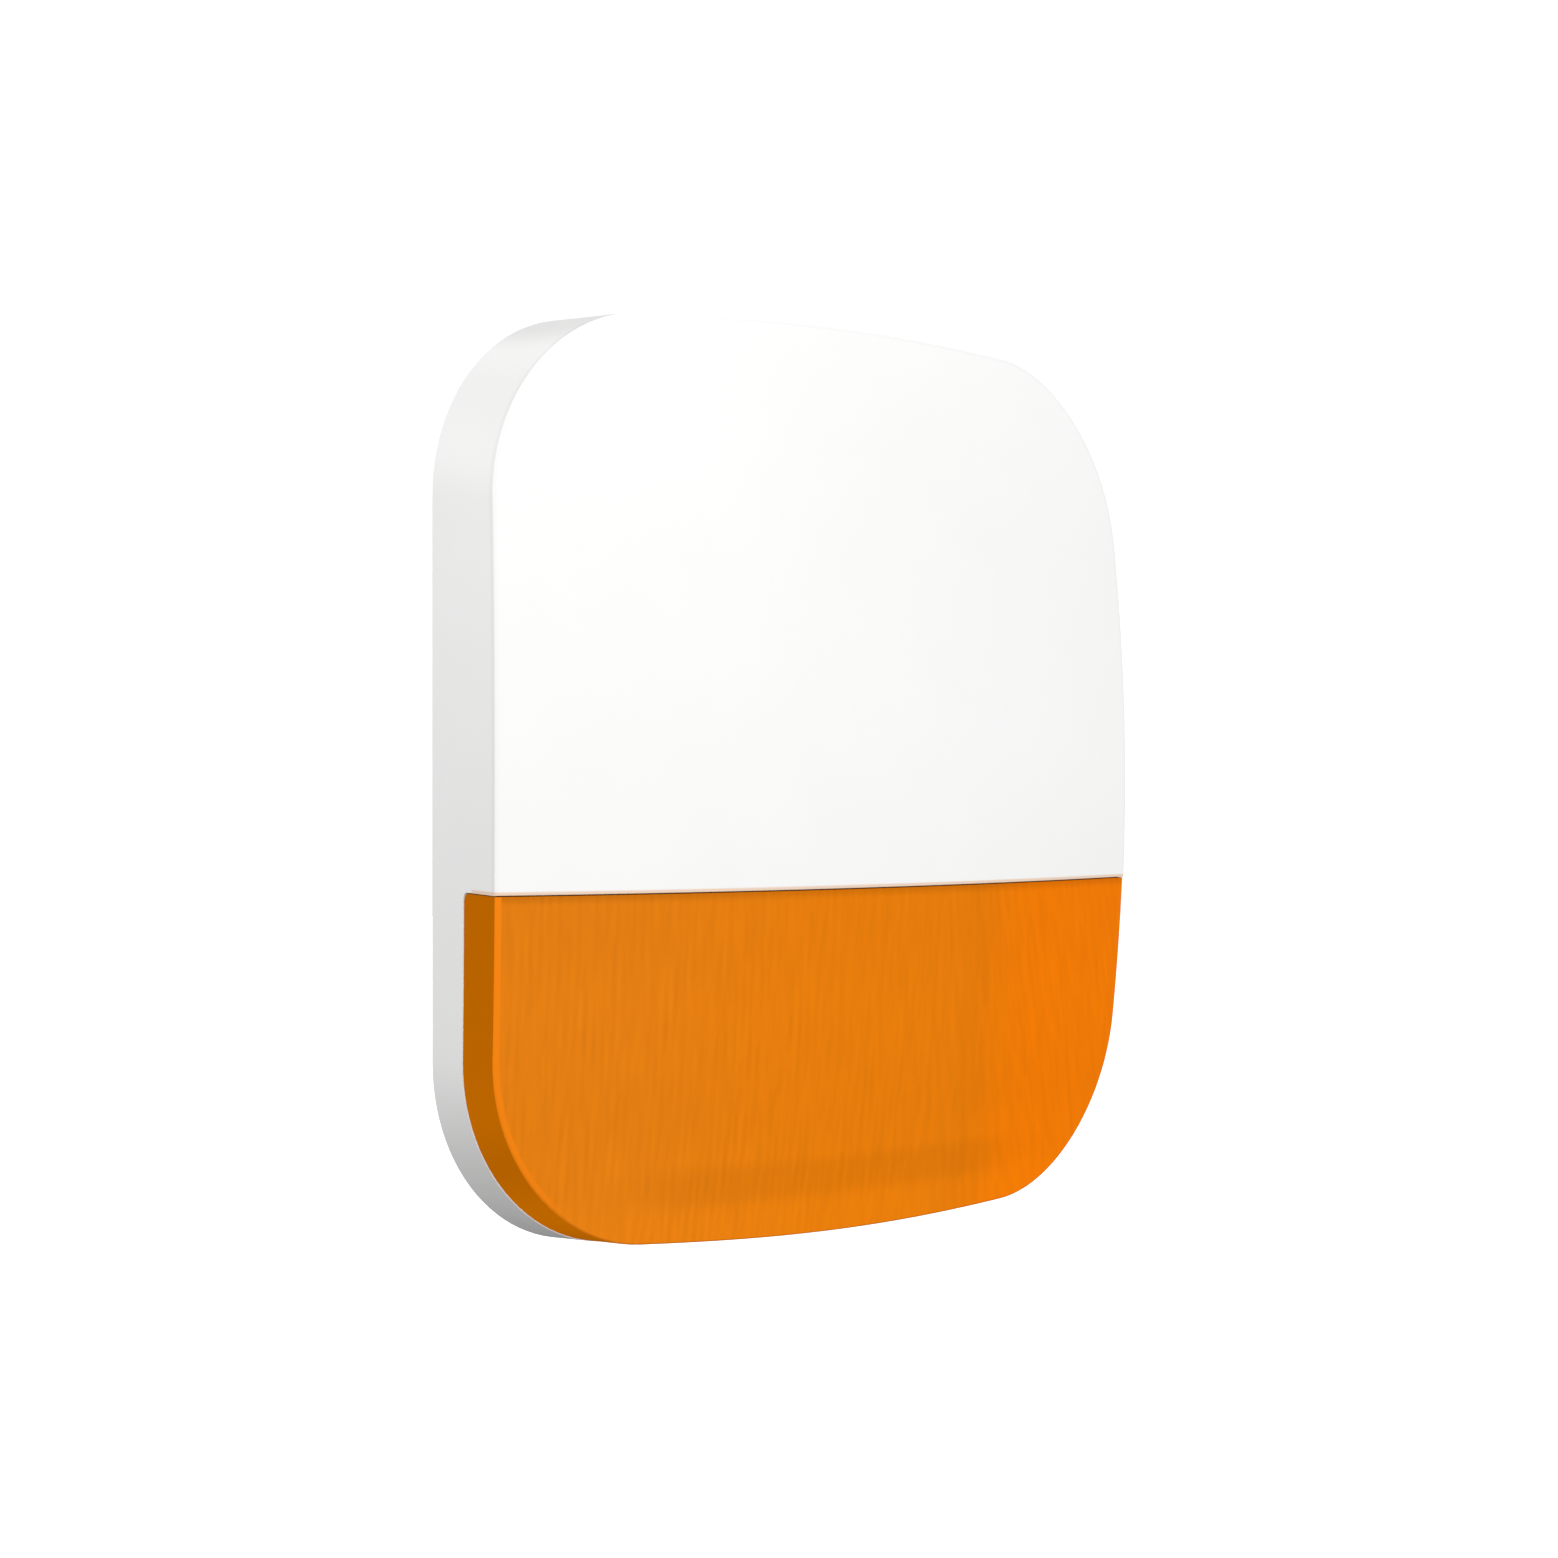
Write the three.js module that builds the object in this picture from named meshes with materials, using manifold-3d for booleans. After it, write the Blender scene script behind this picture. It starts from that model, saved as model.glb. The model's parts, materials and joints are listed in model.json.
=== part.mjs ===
// Wall-mounted outdoor alarm siren with a strobe, in millimetres.
// The origin is the centre of the wall face. +X is to the right seen from the front, the front faces -Y
// and +Z is up.
import * as THREE from "three";
import { mergeVertices } from "three/addons/utils/BufferGeometryUtils.js";
import Module from "manifold-3d";

const wasm = await Module();
wasm.setup();

// ---------- driving dimensions: the outer form ----------
const HALF_WIDTH = 100.5;
const HALF_HEIGHT = 125;
const DEPTH = 52; // wall to the middle of the domed face
const DOME_DROP_X = 13.5; // how far the face falls back from the middle to the side
const DOME_DROP_Z = 14.3; // and from the middle to the top or bottom
const CORNER_X = 40.5;
const CORNER_Z = 50.5;
const SIDE_DEPTH = 38; // depth over which the draft and bow below are reached
const DRAFT_X = 0.033;
const DRAFT_Z = 0.025;
const BOW_X = 0.038;
const BOW_Z = 0.05;
const DIVISION_Z = -28.7; // line between the white cover and the lens
const LENS_SHARE = 0.515; // share of the side depth that stays white beside the lens
const LENS_CORNER = 2.3; // rounding of the lens side where it meets the division line
const CORNER_CURVE_STEPS = 8; // fineness of the elliptical corners

// ---------- driving dimensions: walls, clearances and depths, where the front is -Y ----------
const WALL = 2.6;
const GAP = 0.3; // clearance between pieces that touch
const FIT = 0.6; // clearance between pieces that follow each other round the outline
const SLIDE_GAP = 0.4; // clearance round pieces that slide or turn
const PLATE = 3; // thickness of the wall bracket
const SKIRT_BACK = -1.5; // rear edge of the rear housing
const PANEL_BACK = -10; // back face of the rear housing's panel
const PANEL_FRONT = -12.6;
const LEDGE_BACK = -14; // ring inside the front cover that the housing gasket presses on
const LEDGE_WIDTH = 5;
const FLOOR_BACK = -15.4; // white floor behind the lens
const FLOOR_FRONT = -17.6;
const SHELF = 2.4; // wall above the lens, inside the front cover
const BOARD_BACK = -20;
const BOARD_FRONT = -21.6;
const PARTS_BACK = BOARD_FRONT - GAP; // where the parts on the front of the boards start

// ---------- driving dimensions: what is where, in X and Z ----------
const SCREW = { x: 0, y: -5.5, radius: 2, head: 3.5, headHeight: 2.4, bottom: -124.8, top: -98 };
const LUG = { bottom: -107, top: -100, halfWidth: 7, front: -9.6, bore: 3.4 };
const RIM_CUT_TOP = LUG.bottom - 3; // how high the openings in the bottom rim reach
const LIFT = 10; // upward travel that frees the siren from the bracket
const SOUNDER = { x: 0, z: 66, radius: 36, flange: 43, screwRadius: 39.5, back: -13.2, front: -36 };
const BOARD = { x0: 40, x1: 90, z0: -24, z1: 26 };
const CELL = { radius: 8.5, length: 33.4, y: -24.6, z: -3, pitch: 17.5, firstX: -79, count: 4 };
const STROBE = { z: -72, halfWidth: 66, halfHeight: 11, ledPitch: 38, ledCount: 4 };
const TAMPER = { x: 58, z: 4, plunger: 2.7, tip: -15.4, flange: 5.2, flangeFront: -14.1 };
const POWER = { x: 73, z: 14, travel: 3.5 };
const PAIRING = { x: 73, z: -7, radius: 2.6, back: -8.8, tip: -16.6, flange: 3.8, flangeFront: -14 };
const CABLE_ENTRY = { x: 24, z: -8, radius: 6, windowHalfX: 12, windowHalfZ: 10 };
const DOOR_SCREW = { x: -8, z: -3 };
const HOUSING_SCREWS = [[-79, 83], [79, 83], [-79, -83], [79, -83]];
const LENS_SCREWS = [[-90.5, -50], [90.5, -50], [-42, -115], [42, -115]];
const BOARD_SCREWS = [[44, -20], [86, -20], [44, 22], [86, 22]];
const SOUNDER_SCREW_ANGLES = [90, 210, 330];
const HOOKS = [[-60, 52], [60, 52], [-60, -58], [60, -58]];

// ---------- finishes ----------
const FINISHES = {
  white: { color: 0xf4f4f2, roughness: 0.45, metalness: 0 },
  innerWhite: { color: 0xe6e7e6, roughness: 0.55, metalness: 0 },
  orange: { color: 0xe87c12, roughness: 0.3, metalness: 0, transparent: true, opacity: 0.85 },
  bracket: { color: 0xd9dbdb, roughness: 0.6, metalness: 0 },
  blackPlastic: { color: 0x1d1e20, roughness: 0.5, metalness: 0 },
  rubber: { color: 0x2a2b2d, roughness: 0.85, metalness: 0 },
  circuit: { color: 0x1c6a3c, roughness: 0.45, metalness: 0.05 },
  steel: { color: 0xb9bcc0, roughness: 0.32, metalness: 1 },
  brass: { color: 0xc9a24d, roughness: 0.35, metalness: 1 },
  ceramic: { color: 0xe9e2cf, roughness: 0.5, metalness: 0 },
  cell: { color: 0x2f5f9a, roughness: 0.4, metalness: 0.1 },
  led: { color: 0xf3efcf, roughness: 0.2, metalness: 0 },
  terminal: { color: 0x2f7d4f, roughness: 0.5, metalness: 0 },
  cable: { color: 0xc23a2e, roughness: 0.5, metalness: 0 },
};

// ---------- solids ----------
const FAR = 200; // beyond the whole body
const REACH = 50; // how far forwards a cutting tool goes
const PAST = 1; // how far a tool starts outside what it cuts, and how far joined blocks overlap
const MERGE = 1e-4;

// A closed geometry as a solid that can be joined to others and cut by them.
function solid(geometry) {
  geometry.deleteAttribute("normal");
  geometry.deleteAttribute("uv");
  const merged = mergeVertices(geometry, MERGE);
  const vertProperties = merged.attributes.position.array;
  const triVerts = new Uint32Array(merged.index.array);
  return new wasm.Manifold(new wasm.Mesh({ numProp: 3, vertProperties, triVerts }));
}

// The surface of a solid as a geometry.
function surface(shape) {
  const mesh = shape.getMesh();
  const geometry = new THREE.BufferGeometry();
  geometry.setAttribute("position", new THREE.BufferAttribute(mesh.vertProperties, 3));
  geometry.setIndex(new THREE.BufferAttribute(mesh.triVerts, 1));
  geometry.computeVertexNormals();
  return geometry;
}

function join(...shapes) {
  return shapes.reduce((sum, shape) => sum.add(shape));
}

function cut(shape, ...tools) {
  return tools.reduce((rest, tool) => rest.subtract(tool), shape);
}

// A box between two x, two y and two z values, each pair in either order.
function box(x0, x1, y0, y1, z0, z1) {
  const geometry = new THREE.BoxGeometry(Math.abs(x1 - x0), Math.abs(y1 - y0), Math.abs(z1 - z0));
  geometry.translate((x0 + x1) / 2, (y0 + y1) / 2, (z0 + z1) / 2);
  return solid(geometry);
}

// A box centred on x and z.
function block(x, z, halfX, halfZ, yBack, yFront) {
  return box(x - halfX, x + halfX, yBack, yFront, z - halfZ, z + halfZ);
}

// A round bar along Y. radiusFront differs from radius for a cone.
function rodY(radius, x, z, y0, y1, sides = 12, radiusFront = radius) {
  const geometry = new THREE.CylinderGeometry(radius, radiusFront, Math.abs(y1 - y0), sides);
  geometry.translate(x, (y0 + y1) / 2, z);
  return solid(geometry);
}

// A round bar along Z.
function rodZ(radius, x, y, z0, z1, sides = 14) {
  const geometry = new THREE.CylinderGeometry(radius, radius, Math.abs(z1 - z0), sides);
  geometry.rotateX(Math.PI / 2);
  geometry.translate(x, y, (z0 + z1) / 2);
  return solid(geometry);
}

// A tool that drills along Y through everything from the wall to REACH.
function drill(radius, x, z, sides = 8) {
  return rodY(radius, x, z, PAST, -REACH, sides);
}

// A body turned about Y from [radius, y] points, which start and end on the axis or close on themselves.
function turnedY(points, x, z, sides = 32) {
  const profile = points.map(([radius, y]) => new THREE.Vector2(radius, y));
  const geometry = new THREE.LatheGeometry(profile, sides);
  geometry.translate(x, 0, z);
  return solid(geometry);
}

// A plate from an outline in X and Z, from yBack forwards to yFront.
function plateY(shape, yBack, yFront, curveSegments) {
  const depth = yBack - yFront;
  const geometry = new THREE.ExtrudeGeometry(shape, { depth, steps: 1, bevelEnabled: false, curveSegments });
  geometry.rotateX(Math.PI / 2);
  geometry.translate(0, yBack, 0);
  return geometry;
}

// A round wire along a curve.
function wire(curve, radius, steps, sides = 6) {
  const section = new THREE.Shape();
  section.absarc(0, 0, radius, 0, 2 * Math.PI, false);
  const options = { steps, extrudePath: curve, bevelEnabled: false, curveSegments: sides / 2 };
  return solid(new THREE.ExtrudeGeometry(section, options));
}

// A wire along a smooth curve through [x, y, z] points.
function routedWire(points, radius, steps = 18) {
  const route = new THREE.CatmullRomCurve3(points.map(([x, y, z]) => new THREE.Vector3(x, y, z)));
  return wire(route, radius, steps);
}

function roundedRectangle(x0, x1, z0, z1, radius) {
  const shape = new THREE.Shape();
  shape.absarc(x1 - radius, z0 + radius, radius, -Math.PI / 2, 0, false);
  shape.absarc(x1 - radius, z1 - radius, radius, 0, Math.PI / 2, false);
  shape.absarc(x0 + radius, z1 - radius, radius, Math.PI / 2, Math.PI, false);
  shape.absarc(x0 + radius, z0 + radius, radius, Math.PI, 1.5 * Math.PI, false);
  shape.closePath();
  return shape;
}

// A rounded plate, as a solid.
function roundedPlate(x0, x1, z0, z1, radius, yBack, yFront) {
  return solid(plateY(roundedRectangle(x0, x1, z0, z1, radius), yBack, yFront, 3));
}

// A tool for a slot with round ends. halfX and halfZ reach to the end centres.
function slotTool(x, z, halfX, halfZ, radius) {
  const endX = halfX + radius;
  const endZ = halfZ + radius;
  const shape = roundedRectangle(x - endX, x + endX, z - endZ, z + endZ, radius * 0.99);
  return solid(plateY(shape, PAST, -REACH, 2));
}

// ---------- the outer form ----------

// The body's outline seen from the front: straight sides with elliptical corners, moved inwards by inset.
// The sides are divided so that they can bow.
function outline(inset, sideSteps) {
  const w = HALF_WIDTH - inset;
  const h = HALF_HEIGHT - inset;
  const rx = CORNER_X - inset;
  const rz = CORNER_Z - inset;
  const shape = new THREE.Shape();
  const side = (x0, z0, x1, z1) => {
    for (let i = 1; i <= sideSteps; i++) {
      const t = i / sideSteps;
      shape.lineTo(x0 + (x1 - x0) * t, z0 + (z1 - z0) * t);
    }
  };
  shape.moveTo(w, rz - h);
  side(w, rz - h, w, h - rz);
  shape.absellipse(w - rx, h - rz, rx, rz, 0, Math.PI / 2, false, 0);
  side(w - rx, h, rx - w, h);
  shape.absellipse(rx - w, h - rz, rx, rz, Math.PI / 2, Math.PI, false, 0);
  side(-w, h - rz, -w, rz - h);
  shape.absellipse(rx - w, rz - h, rx, rz, Math.PI, 1.5 * Math.PI, false, 0);
  side(rx - w, -h, w - rx, -h);
  shape.absellipse(w - rx, rz - h, rx, rz, 1.5 * Math.PI, 2 * Math.PI, false, 0);
  return shape;
}

// A block that follows the outline and narrows towards the front, more so near the corners.
// It is as deep as the body, so that blocks of different insets stay parallel.
// The sides of the outer skin are divided more finely than those of what is inside it.
function draftedBlock(inset) {
  const isSkin = inset < WALL / 2;
  const geometry = plateY(outline(inset, isSkin ? 4 : 2), PAST, -DEPTH - PAST, CORNER_CURVE_STEPS);
  const position = geometry.attributes.position;
  for (let i = 0; i < position.count; i++) {
    const x = position.getX(i);
    const z = position.getZ(i);
    const t = -position.getY(i) / SIDE_DEPTH;
    position.setX(i, x * (1 - t * (DRAFT_X + BOW_X * (z / HALF_HEIGHT) ** 2)));
    position.setZ(i, z * (1 - t * (DRAFT_Z + BOW_Z * (x / HALF_WIDTH) ** 2)));
  }
  return solid(geometry);
}

// The part of that block between two depths.
function drafted(inset, yBack = FAR, yFront = -FAR) {
  return draftedBlock(inset).intersect(box(-FAR, FAR, yBack, yFront, -FAR, FAR));
}

// Everything behind the domed face, which is a paraboloid. share scales its depth, and inset moves it back.
// The profile is drawn for a face that falls back by the square of the radius, and then scaled in X and Z.
function behindDome(share, inset, rings = 8, sectors = 40) {
  const scaleX = HALF_WIDTH / Math.sqrt(DOME_DROP_X);
  const scaleZ = HALF_HEIGHT / Math.sqrt(DOME_DROP_Z);
  const reach = 5.9;
  const points = [];
  for (let i = 0; i <= rings; i++) {
    const radius = (reach * i) / rings;
    points.push(new THREE.Vector2(radius, share * radius * radius));
  }
  points.push(new THREE.Vector2(reach, 2 * DEPTH));
  points.push(new THREE.Vector2(0, 2 * DEPTH));
  const geometry = new THREE.LatheGeometry(points, sectors);
  geometry.scale(scaleX, 1, scaleZ);
  geometry.translate(0, inset - share * DEPTH, 0);
  return solid(geometry);
}

// The whole body, moved inwards by inset, from yBack forwards to the domed face.
// Its skin is finer than its hollows.
function body(inset, yBack) {
  const dome = inset < WALL / 2 ? behindDome(1, inset) : behindDome(1, inset, 5, 24);
  return drafted(inset, yBack).intersect(dome);
}

// All space below a height, between two depths.
function below(z, yBack = FAR, yFront = -FAR) {
  return box(-FAR, FAR, yBack, yFront, -FAR, z);
}

// The part of a drafted block below a height.
function lowerBlock(inset, top, yBack = FAR, yFront = -FAR) {
  return drafted(inset, yBack, yFront).intersect(below(top));
}

// The space that belongs to the lens's outer wall, kept clear by gap.
function lensZone(gap) {
  const cornerZ = DIVISION_Z - gap - LENS_CORNER;
  const sideX = HALF_WIDTH * (1 - DRAFT_X / 2);
  const drop = DOME_DROP_X * (sideX / HALF_WIDTH) ** 2 + DOME_DROP_Z * (DIVISION_Z / HALF_HEIGHT) ** 2;
  const cornerY = -LENS_SHARE * (DEPTH - drop) - gap - LENS_CORNER;
  const round = new THREE.CylinderGeometry(LENS_CORNER, LENS_CORNER, 2 * FAR, 24);
  round.rotateZ(Math.PI / 2);
  round.translate(0, cornerY, cornerZ);
  const square = box(-FAR, FAR, cornerY + LENS_CORNER + PAST, cornerY, cornerZ, DIVISION_Z + PAST);
  const zone = below(DIVISION_Z - gap).subtract(behindDome(LENS_SHARE, -gap, 5, 28));
  return cut(zone, square.subtract(solid(round)));
}

// ---------- fasteners ----------
const CROSS = { arm: 0.62, blade: 0.14, depth: 0.55 }; // shares of a screw head's radius and height

const SCREWS = {
  housing: { radius: 1.5, head: 3, headHeight: 1.8, hole: 1.8 },
  lens: { radius: 1.2, head: 2.6, headHeight: 1.1, hole: 1.6 },
  door: { radius: 1.4, head: 2.8, headHeight: 1.5, hole: 1.8 },
  sounder: { radius: 1.2, head: 2.5, headHeight: 1.4, hole: 1.6 },
  board: { radius: 1.1, head: 2.5, headHeight: 1.4, hole: 1.6 },
};

// A cross-head screw along Y, with its head's inner face at yHead and its tip at yTip.
function crossScrew({ radius, head, headHeight }, x, z, yHead, yTip) {
  const out = Math.sign(yHead - yTip);
  const cap = rodY(head, x, z, yHead, yHead + out * headHeight, 10);
  const shank = rodY(radius, x, z, yHead + out * PAST, yTip, 6);
  const top = yHead + out * (headHeight + PAST);
  const bottom = yHead + out * headHeight * (1 - CROSS.depth);
  const arm = head * CROSS.arm;
  const blade = head * CROSS.blade;
  return cut(join(cap, shank), block(x, z, arm, blade, top, bottom), block(x, z, blade, arm, top, bottom));
}

// The captive screw that holds the siren down on the bracket. Its cross faces down.
function lockingScrew() {
  const { x, y, radius, head, headHeight, bottom, top } = SCREW;
  const shank = rodZ(radius, x, y, bottom + PAST, top);
  const cap = rodZ(head, x, y, bottom, bottom + headHeight, 18);
  const blade = head * CROSS.blade;
  const arm = head * CROSS.arm;
  const depth = bottom + headHeight * CROSS.depth;
  return cut(
    join(cap, shank),
    box(x - arm, x + arm, y - blade, y + blade, bottom - PAST, depth),
    box(x - blade, x + blade, y - arm, y + arm, bottom - PAST, depth),
  );
}

// The open ring on that screw that keeps it in the front cover.
function retainingClip() {
  const radius = 3.6;
  const halfMouth = 1.4;
  const bottom = -119.1;
  const top = bottom + 0.8;
  const ring = rodZ(radius, SCREW.x, SCREW.y, bottom, top, 20);
  const hole = rodZ(SCREW.radius + GAP, SCREW.x, SCREW.y, bottom - PAST, top + PAST);
  const mouth = box(SCREW.x - halfMouth, SCREW.x + halfMouth, SCREW.y, 0, bottom - PAST, top + PAST);
  return cut(ring, hole, mouth);
}

// ---------- wall bracket ----------
const BRACKET = { halfWidth: 74, top: 100, corner: 20 };
const WALL_SLOT = { x: 44, z: 84, half: 4, radius: 2.5 };
const RIB = { x0: -40, x1: 14, z: 34, halfWidth: 1, height: 1.6 };
const HOOK = { halfWidth: 7, back: -5.6, front: -7.2, stem: 4 };
const PAD = { inner: 8.6, outer: 9.8, halfWeb: 0.8, hole: 2, holeDrop: 5.4 };

// A hook with its stem on the plate and a lip that points up.
function hook(x, z) {
  const left = x - HOOK.halfWidth;
  const right = x + HOOK.halfWidth;
  const stem = box(left, right, PAST - PLATE, HOOK.front, z, z + HOOK.stem);
  const lip = box(left, right, HOOK.back, HOOK.front, z, z + LIFT);
  return join(stem, lip);
}

// The tool that leaves a break-off pad in the plate: a ring interrupted by four webs, and a screw hole.
function tamperPadTool() {
  const { x, z } = TAMPER;
  const back = PAST;
  const front = -PLATE - PAST;
  const { inner, outer, halfWeb, hole, holeDrop } = PAD;
  const profile = [[inner, front], [outer, front], [outer, back], [inner, back], [inner, front]];
  const ring = turnedY(profile, x, z, 24);
  const reach = outer + PAST;
  const webs = [
    block(x, z, reach, halfWeb, back + PAST, front - PAST),
    block(x, z, halfWeb, reach, back + PAST, front - PAST),
  ];
  return join(cut(ring, ...webs), rodY(hole, x, z - holeDrop, back, front));
}

function wallBracket() {
  const { halfWidth, top, corner } = BRACKET;
  const plate = join(
    roundedPlate(-halfWidth, halfWidth, LUG.top, top, corner, 0, -PLATE),
    box(-LUG.halfWidth, LUG.halfWidth, 0, LUG.front, LUG.bottom, LUG.top + 2),
    ...HOOKS.map(([x, z]) => hook(x, z)),
    ...[-RIB.z, RIB.z].map((z) => (
      box(RIB.x0, RIB.x1, PAST - PLATE, -PLATE - RIB.height, z - RIB.halfWidth, z + RIB.halfWidth)
    )),
  );
  const slots = [-WALL_SLOT.x, WALL_SLOT.x].flatMap((x) => [
    slotTool(x, WALL_SLOT.z, 0, WALL_SLOT.half, WALL_SLOT.radius),
    slotTool(x, -WALL_SLOT.z, WALL_SLOT.half, 0, WALL_SLOT.radius),
  ]);
  const insertHole = rodZ(LUG.bore, SCREW.x, SCREW.y, LUG.bottom - PAST, LUG.top + 3, 20);
  const { x, z, windowHalfX, windowHalfZ } = CABLE_ENTRY;
  const cableWindow = block(x, z, windowHalfX, windowHalfZ, PAST, -REACH);
  return cut(plate, ...slots, insertHole, cableWindow, tamperPadTool());
}

function bracketInsert() {
  const outer = rodZ(LUG.bore - GAP, SCREW.x, SCREW.y, LUG.bottom, LUG.top, 18);
  const bore = rodZ(SCREW.radius + SLIDE_GAP, SCREW.x, SCREW.y, LUG.bottom - PAST, LUG.top + PAST);
  return outer.subtract(bore);
}

// ---------- front cover and lens ----------
const SOUND_SLOT = { firstX: 18, pitch: 9, perSide: 5, halfWidth: 3, back: -3, front: -7 };
const SCREW_BOSS = { halfWidth: 8, back: -0.6, front: -9.6, bottom: -123.5, top: -119.4 };
const STROBE_CABLE_HOLE = { x: 50, z: -62.5, halfX: 2.6, halfZ: 4.5 };
const STROBE_POST = { x: 60, radius: 3 };
const UNDERCUT = -20.8; // how far forwards the lower housing bosses reach, behind the reflector

const LENS_TOP = DIVISION_Z - GAP;
const LENS_WALL = 2.2;
const LENS_SKIN = 0.2; // how far the lens lies behind the white face
const GASKET_BACK = FLOOR_FRONT - GAP;
const GASKET_FRONT = GASKET_BACK - 1;
const LIP_BACK = GASKET_FRONT - GAP; // the lens's inner lip, which presses on the lens gasket
const LIP_FRONT = -23;
const LIP_INSET = WALL + FIT;
const LIP_WIDTH = 1.8;
const LENS_LUG = { radius: 3.6, front: -25, boreFront: -24 };

// The openings in the bottom rim that let the sound out.
function soundSlots() {
  const { firstX, pitch, perSide, halfWidth, back, front } = SOUND_SLOT;
  const slots = [];
  for (let i = 0; i < perSide; i++) {
    for (const x of [-firstX - pitch * i, firstX + pitch * i]) {
      slots.push(box(x - halfWidth, x + halfWidth, back, front, -FAR, RIM_CUT_TOP));
    }
  }
  return slots;
}

// A screw boss that grows forwards from yBack, and stops inside the outer skin.
function boss(x, z, yBack, yFront) {
  const radius = 4;
  return rodY(radius, x, z, yBack, yFront).intersect(body(WALL / 2, PAST));
}

// The holes in the front cover: for its screws, the lens's screws, the locking screw and the strobe's cable.
function coverHoles() {
  const housing = HOUSING_SCREWS.map(([x, z]) => rodY(SCREWS.housing.hole, x, z, PAST, BOARD_BACK, 10));
  const lens = LENS_SCREWS.flatMap(([x, z]) => [
    rodY(SCREWS.lens.hole, x, z, PAST, FLOOR_FRONT - PAST, 10),
    rodY(SCREWS.lens.head + FIT, x, z, PAST, FLOOR_BACK),
  ]);
  const recessTop = SCREW.bottom + SCREW.headHeight + GAP;
  const recess = rodZ(SCREW.head + SLIDE_GAP, SCREW.x, SCREW.y, -FAR, recessTop, 20);
  const bore = rodZ(SCREW.radius + SLIDE_GAP, SCREW.x, SCREW.y, -FAR, RIM_CUT_TOP);
  const { x, z, halfX, halfZ } = STROBE_CABLE_HOLE;
  const cable = block(x, z, halfX, halfZ, FLOOR_BACK + PAST, FLOOR_FRONT - PAST);
  return [...housing, ...lens, recess, bore, cable];
}

function frontCover() {
  const shell = cut(body(0, 0), body(WALL, PAST), lensZone(0));
  const shelfTop = DIVISION_Z + SHELF;
  const shelf = body(WALL / 2, PAST).intersect(box(-FAR, FAR, FLOOR_BACK, -FAR, DIVISION_Z, shelfTop));
  const ledge = cut(drafted(WALL / 2, LEDGE_BACK, FLOOR_FRONT), drafted(WALL + LEDGE_WIDTH));
  const floor = lowerBlock(WALL / 2, shelfTop, FLOOR_BACK, FLOOR_FRONT);
  const lensWallZone = lensZone(0).subtract(drafted(WALL));
  const { halfWidth, back, front, bottom, top } = SCREW_BOSS;
  const cover = join(
    shell,
    cut(join(ledge, floor), lensWallZone),
    shelf,
    ...HOUSING_SCREWS.map(([x, z]) => boss(x, z, LEDGE_BACK, z > 0 ? -REACH : UNDERCUT)),
    ...[-STROBE_POST.x, STROBE_POST.x].map((x) => (
      rodY(STROBE_POST.radius, x, STROBE.z, FLOOR_BACK - PAST, BOARD_BACK + GAP)
    )),
    box(-halfWidth, halfWidth, back, front, bottom, top),
  );
  return cut(cover, ...coverHoles(), ...soundSlots());
}

function strobeLens() {
  const outer = body(LENS_SKIN, PAST).intersect(lensZone(GAP)).subtract(drafted(WALL - GAP, PAST, LIP_BACK));
  const lip = body(LIP_INSET, PAST).intersect(below(LENS_TOP, LIP_BACK));
  const hollowTop = LENS_TOP - LENS_WALL;
  const frontHollow = body(WALL, PAST).intersect(below(hollowTop, LIP_FRONT));
  const backHollow = body(LIP_INSET + LIP_WIDTH, PAST).intersect(below(hollowTop, FAR, LIP_FRONT - PAST));
  const { radius, front, boreFront } = LENS_LUG;
  const lugs = LENS_SCREWS.map(([x, z]) => (
    rodY(radius, x, z, LIP_BACK, front, 16).intersect(body(WALL, PAST))
  ));
  const screwHoles = LENS_SCREWS.map(([x, z]) => rodY(SCREWS.lens.radius + GAP, x, z, PAST, boreFront));
  return cut(join(cut(join(outer, lip), frontHollow, backHollow), ...lugs), ...screwHoles);
}

function lensGasket() {
  const outer = lowerBlock(LIP_INSET, LENS_TOP, GASKET_BACK, GASKET_FRONT);
  const inner = lowerBlock(LIP_INSET + LIP_WIDTH, LENS_TOP - LENS_WALL);
  return outer.subtract(inner);
}

function housingGasket() {
  const width = 3.6;
  const clearance = 0.2;
  const outer = drafted(WALL + FIT, PANEL_FRONT - clearance, LEDGE_BACK + clearance);
  return outer.subtract(drafted(WALL + FIT + width));
}

// ---------- rear housing ----------
const CATCH = {
  halfWidth: 6, back: -3.4, front: -5.2, tongueRise: 4.5, blockRise: LIFT + 0.5, top: LIFT + 6,
};
const GRILLE = { pitch: 9, rows: 5, reach: 26, halfSlot: 2 };
const BATTERY_WINDOW = { x0: -92, x1: -13, z0: -26, z1: 20 };
const PLUNGER_GUIDE = { radius: 4.8, back: -6 };
const BOARD_POST = 3; // radius
const RIM_ROOM = { top: -114, soundHalfWidth: 60, soundFront: -7.5, screwHalfWidth: 9.5 };

// The catch that hangs in a bracket hook: a block on the panel with a tongue that points down.
function hookCatch(x, z) {
  const left = x - CATCH.halfWidth;
  const right = x + CATCH.halfWidth;
  const base = box(left, right, CATCH.back, PANEL_BACK - PAST, z + CATCH.blockRise, z + CATCH.top);
  const tongue = box(left, right, CATCH.back, CATCH.front, z + CATCH.tongueRise, z + CATCH.top);
  return join(base, tongue);
}

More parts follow.
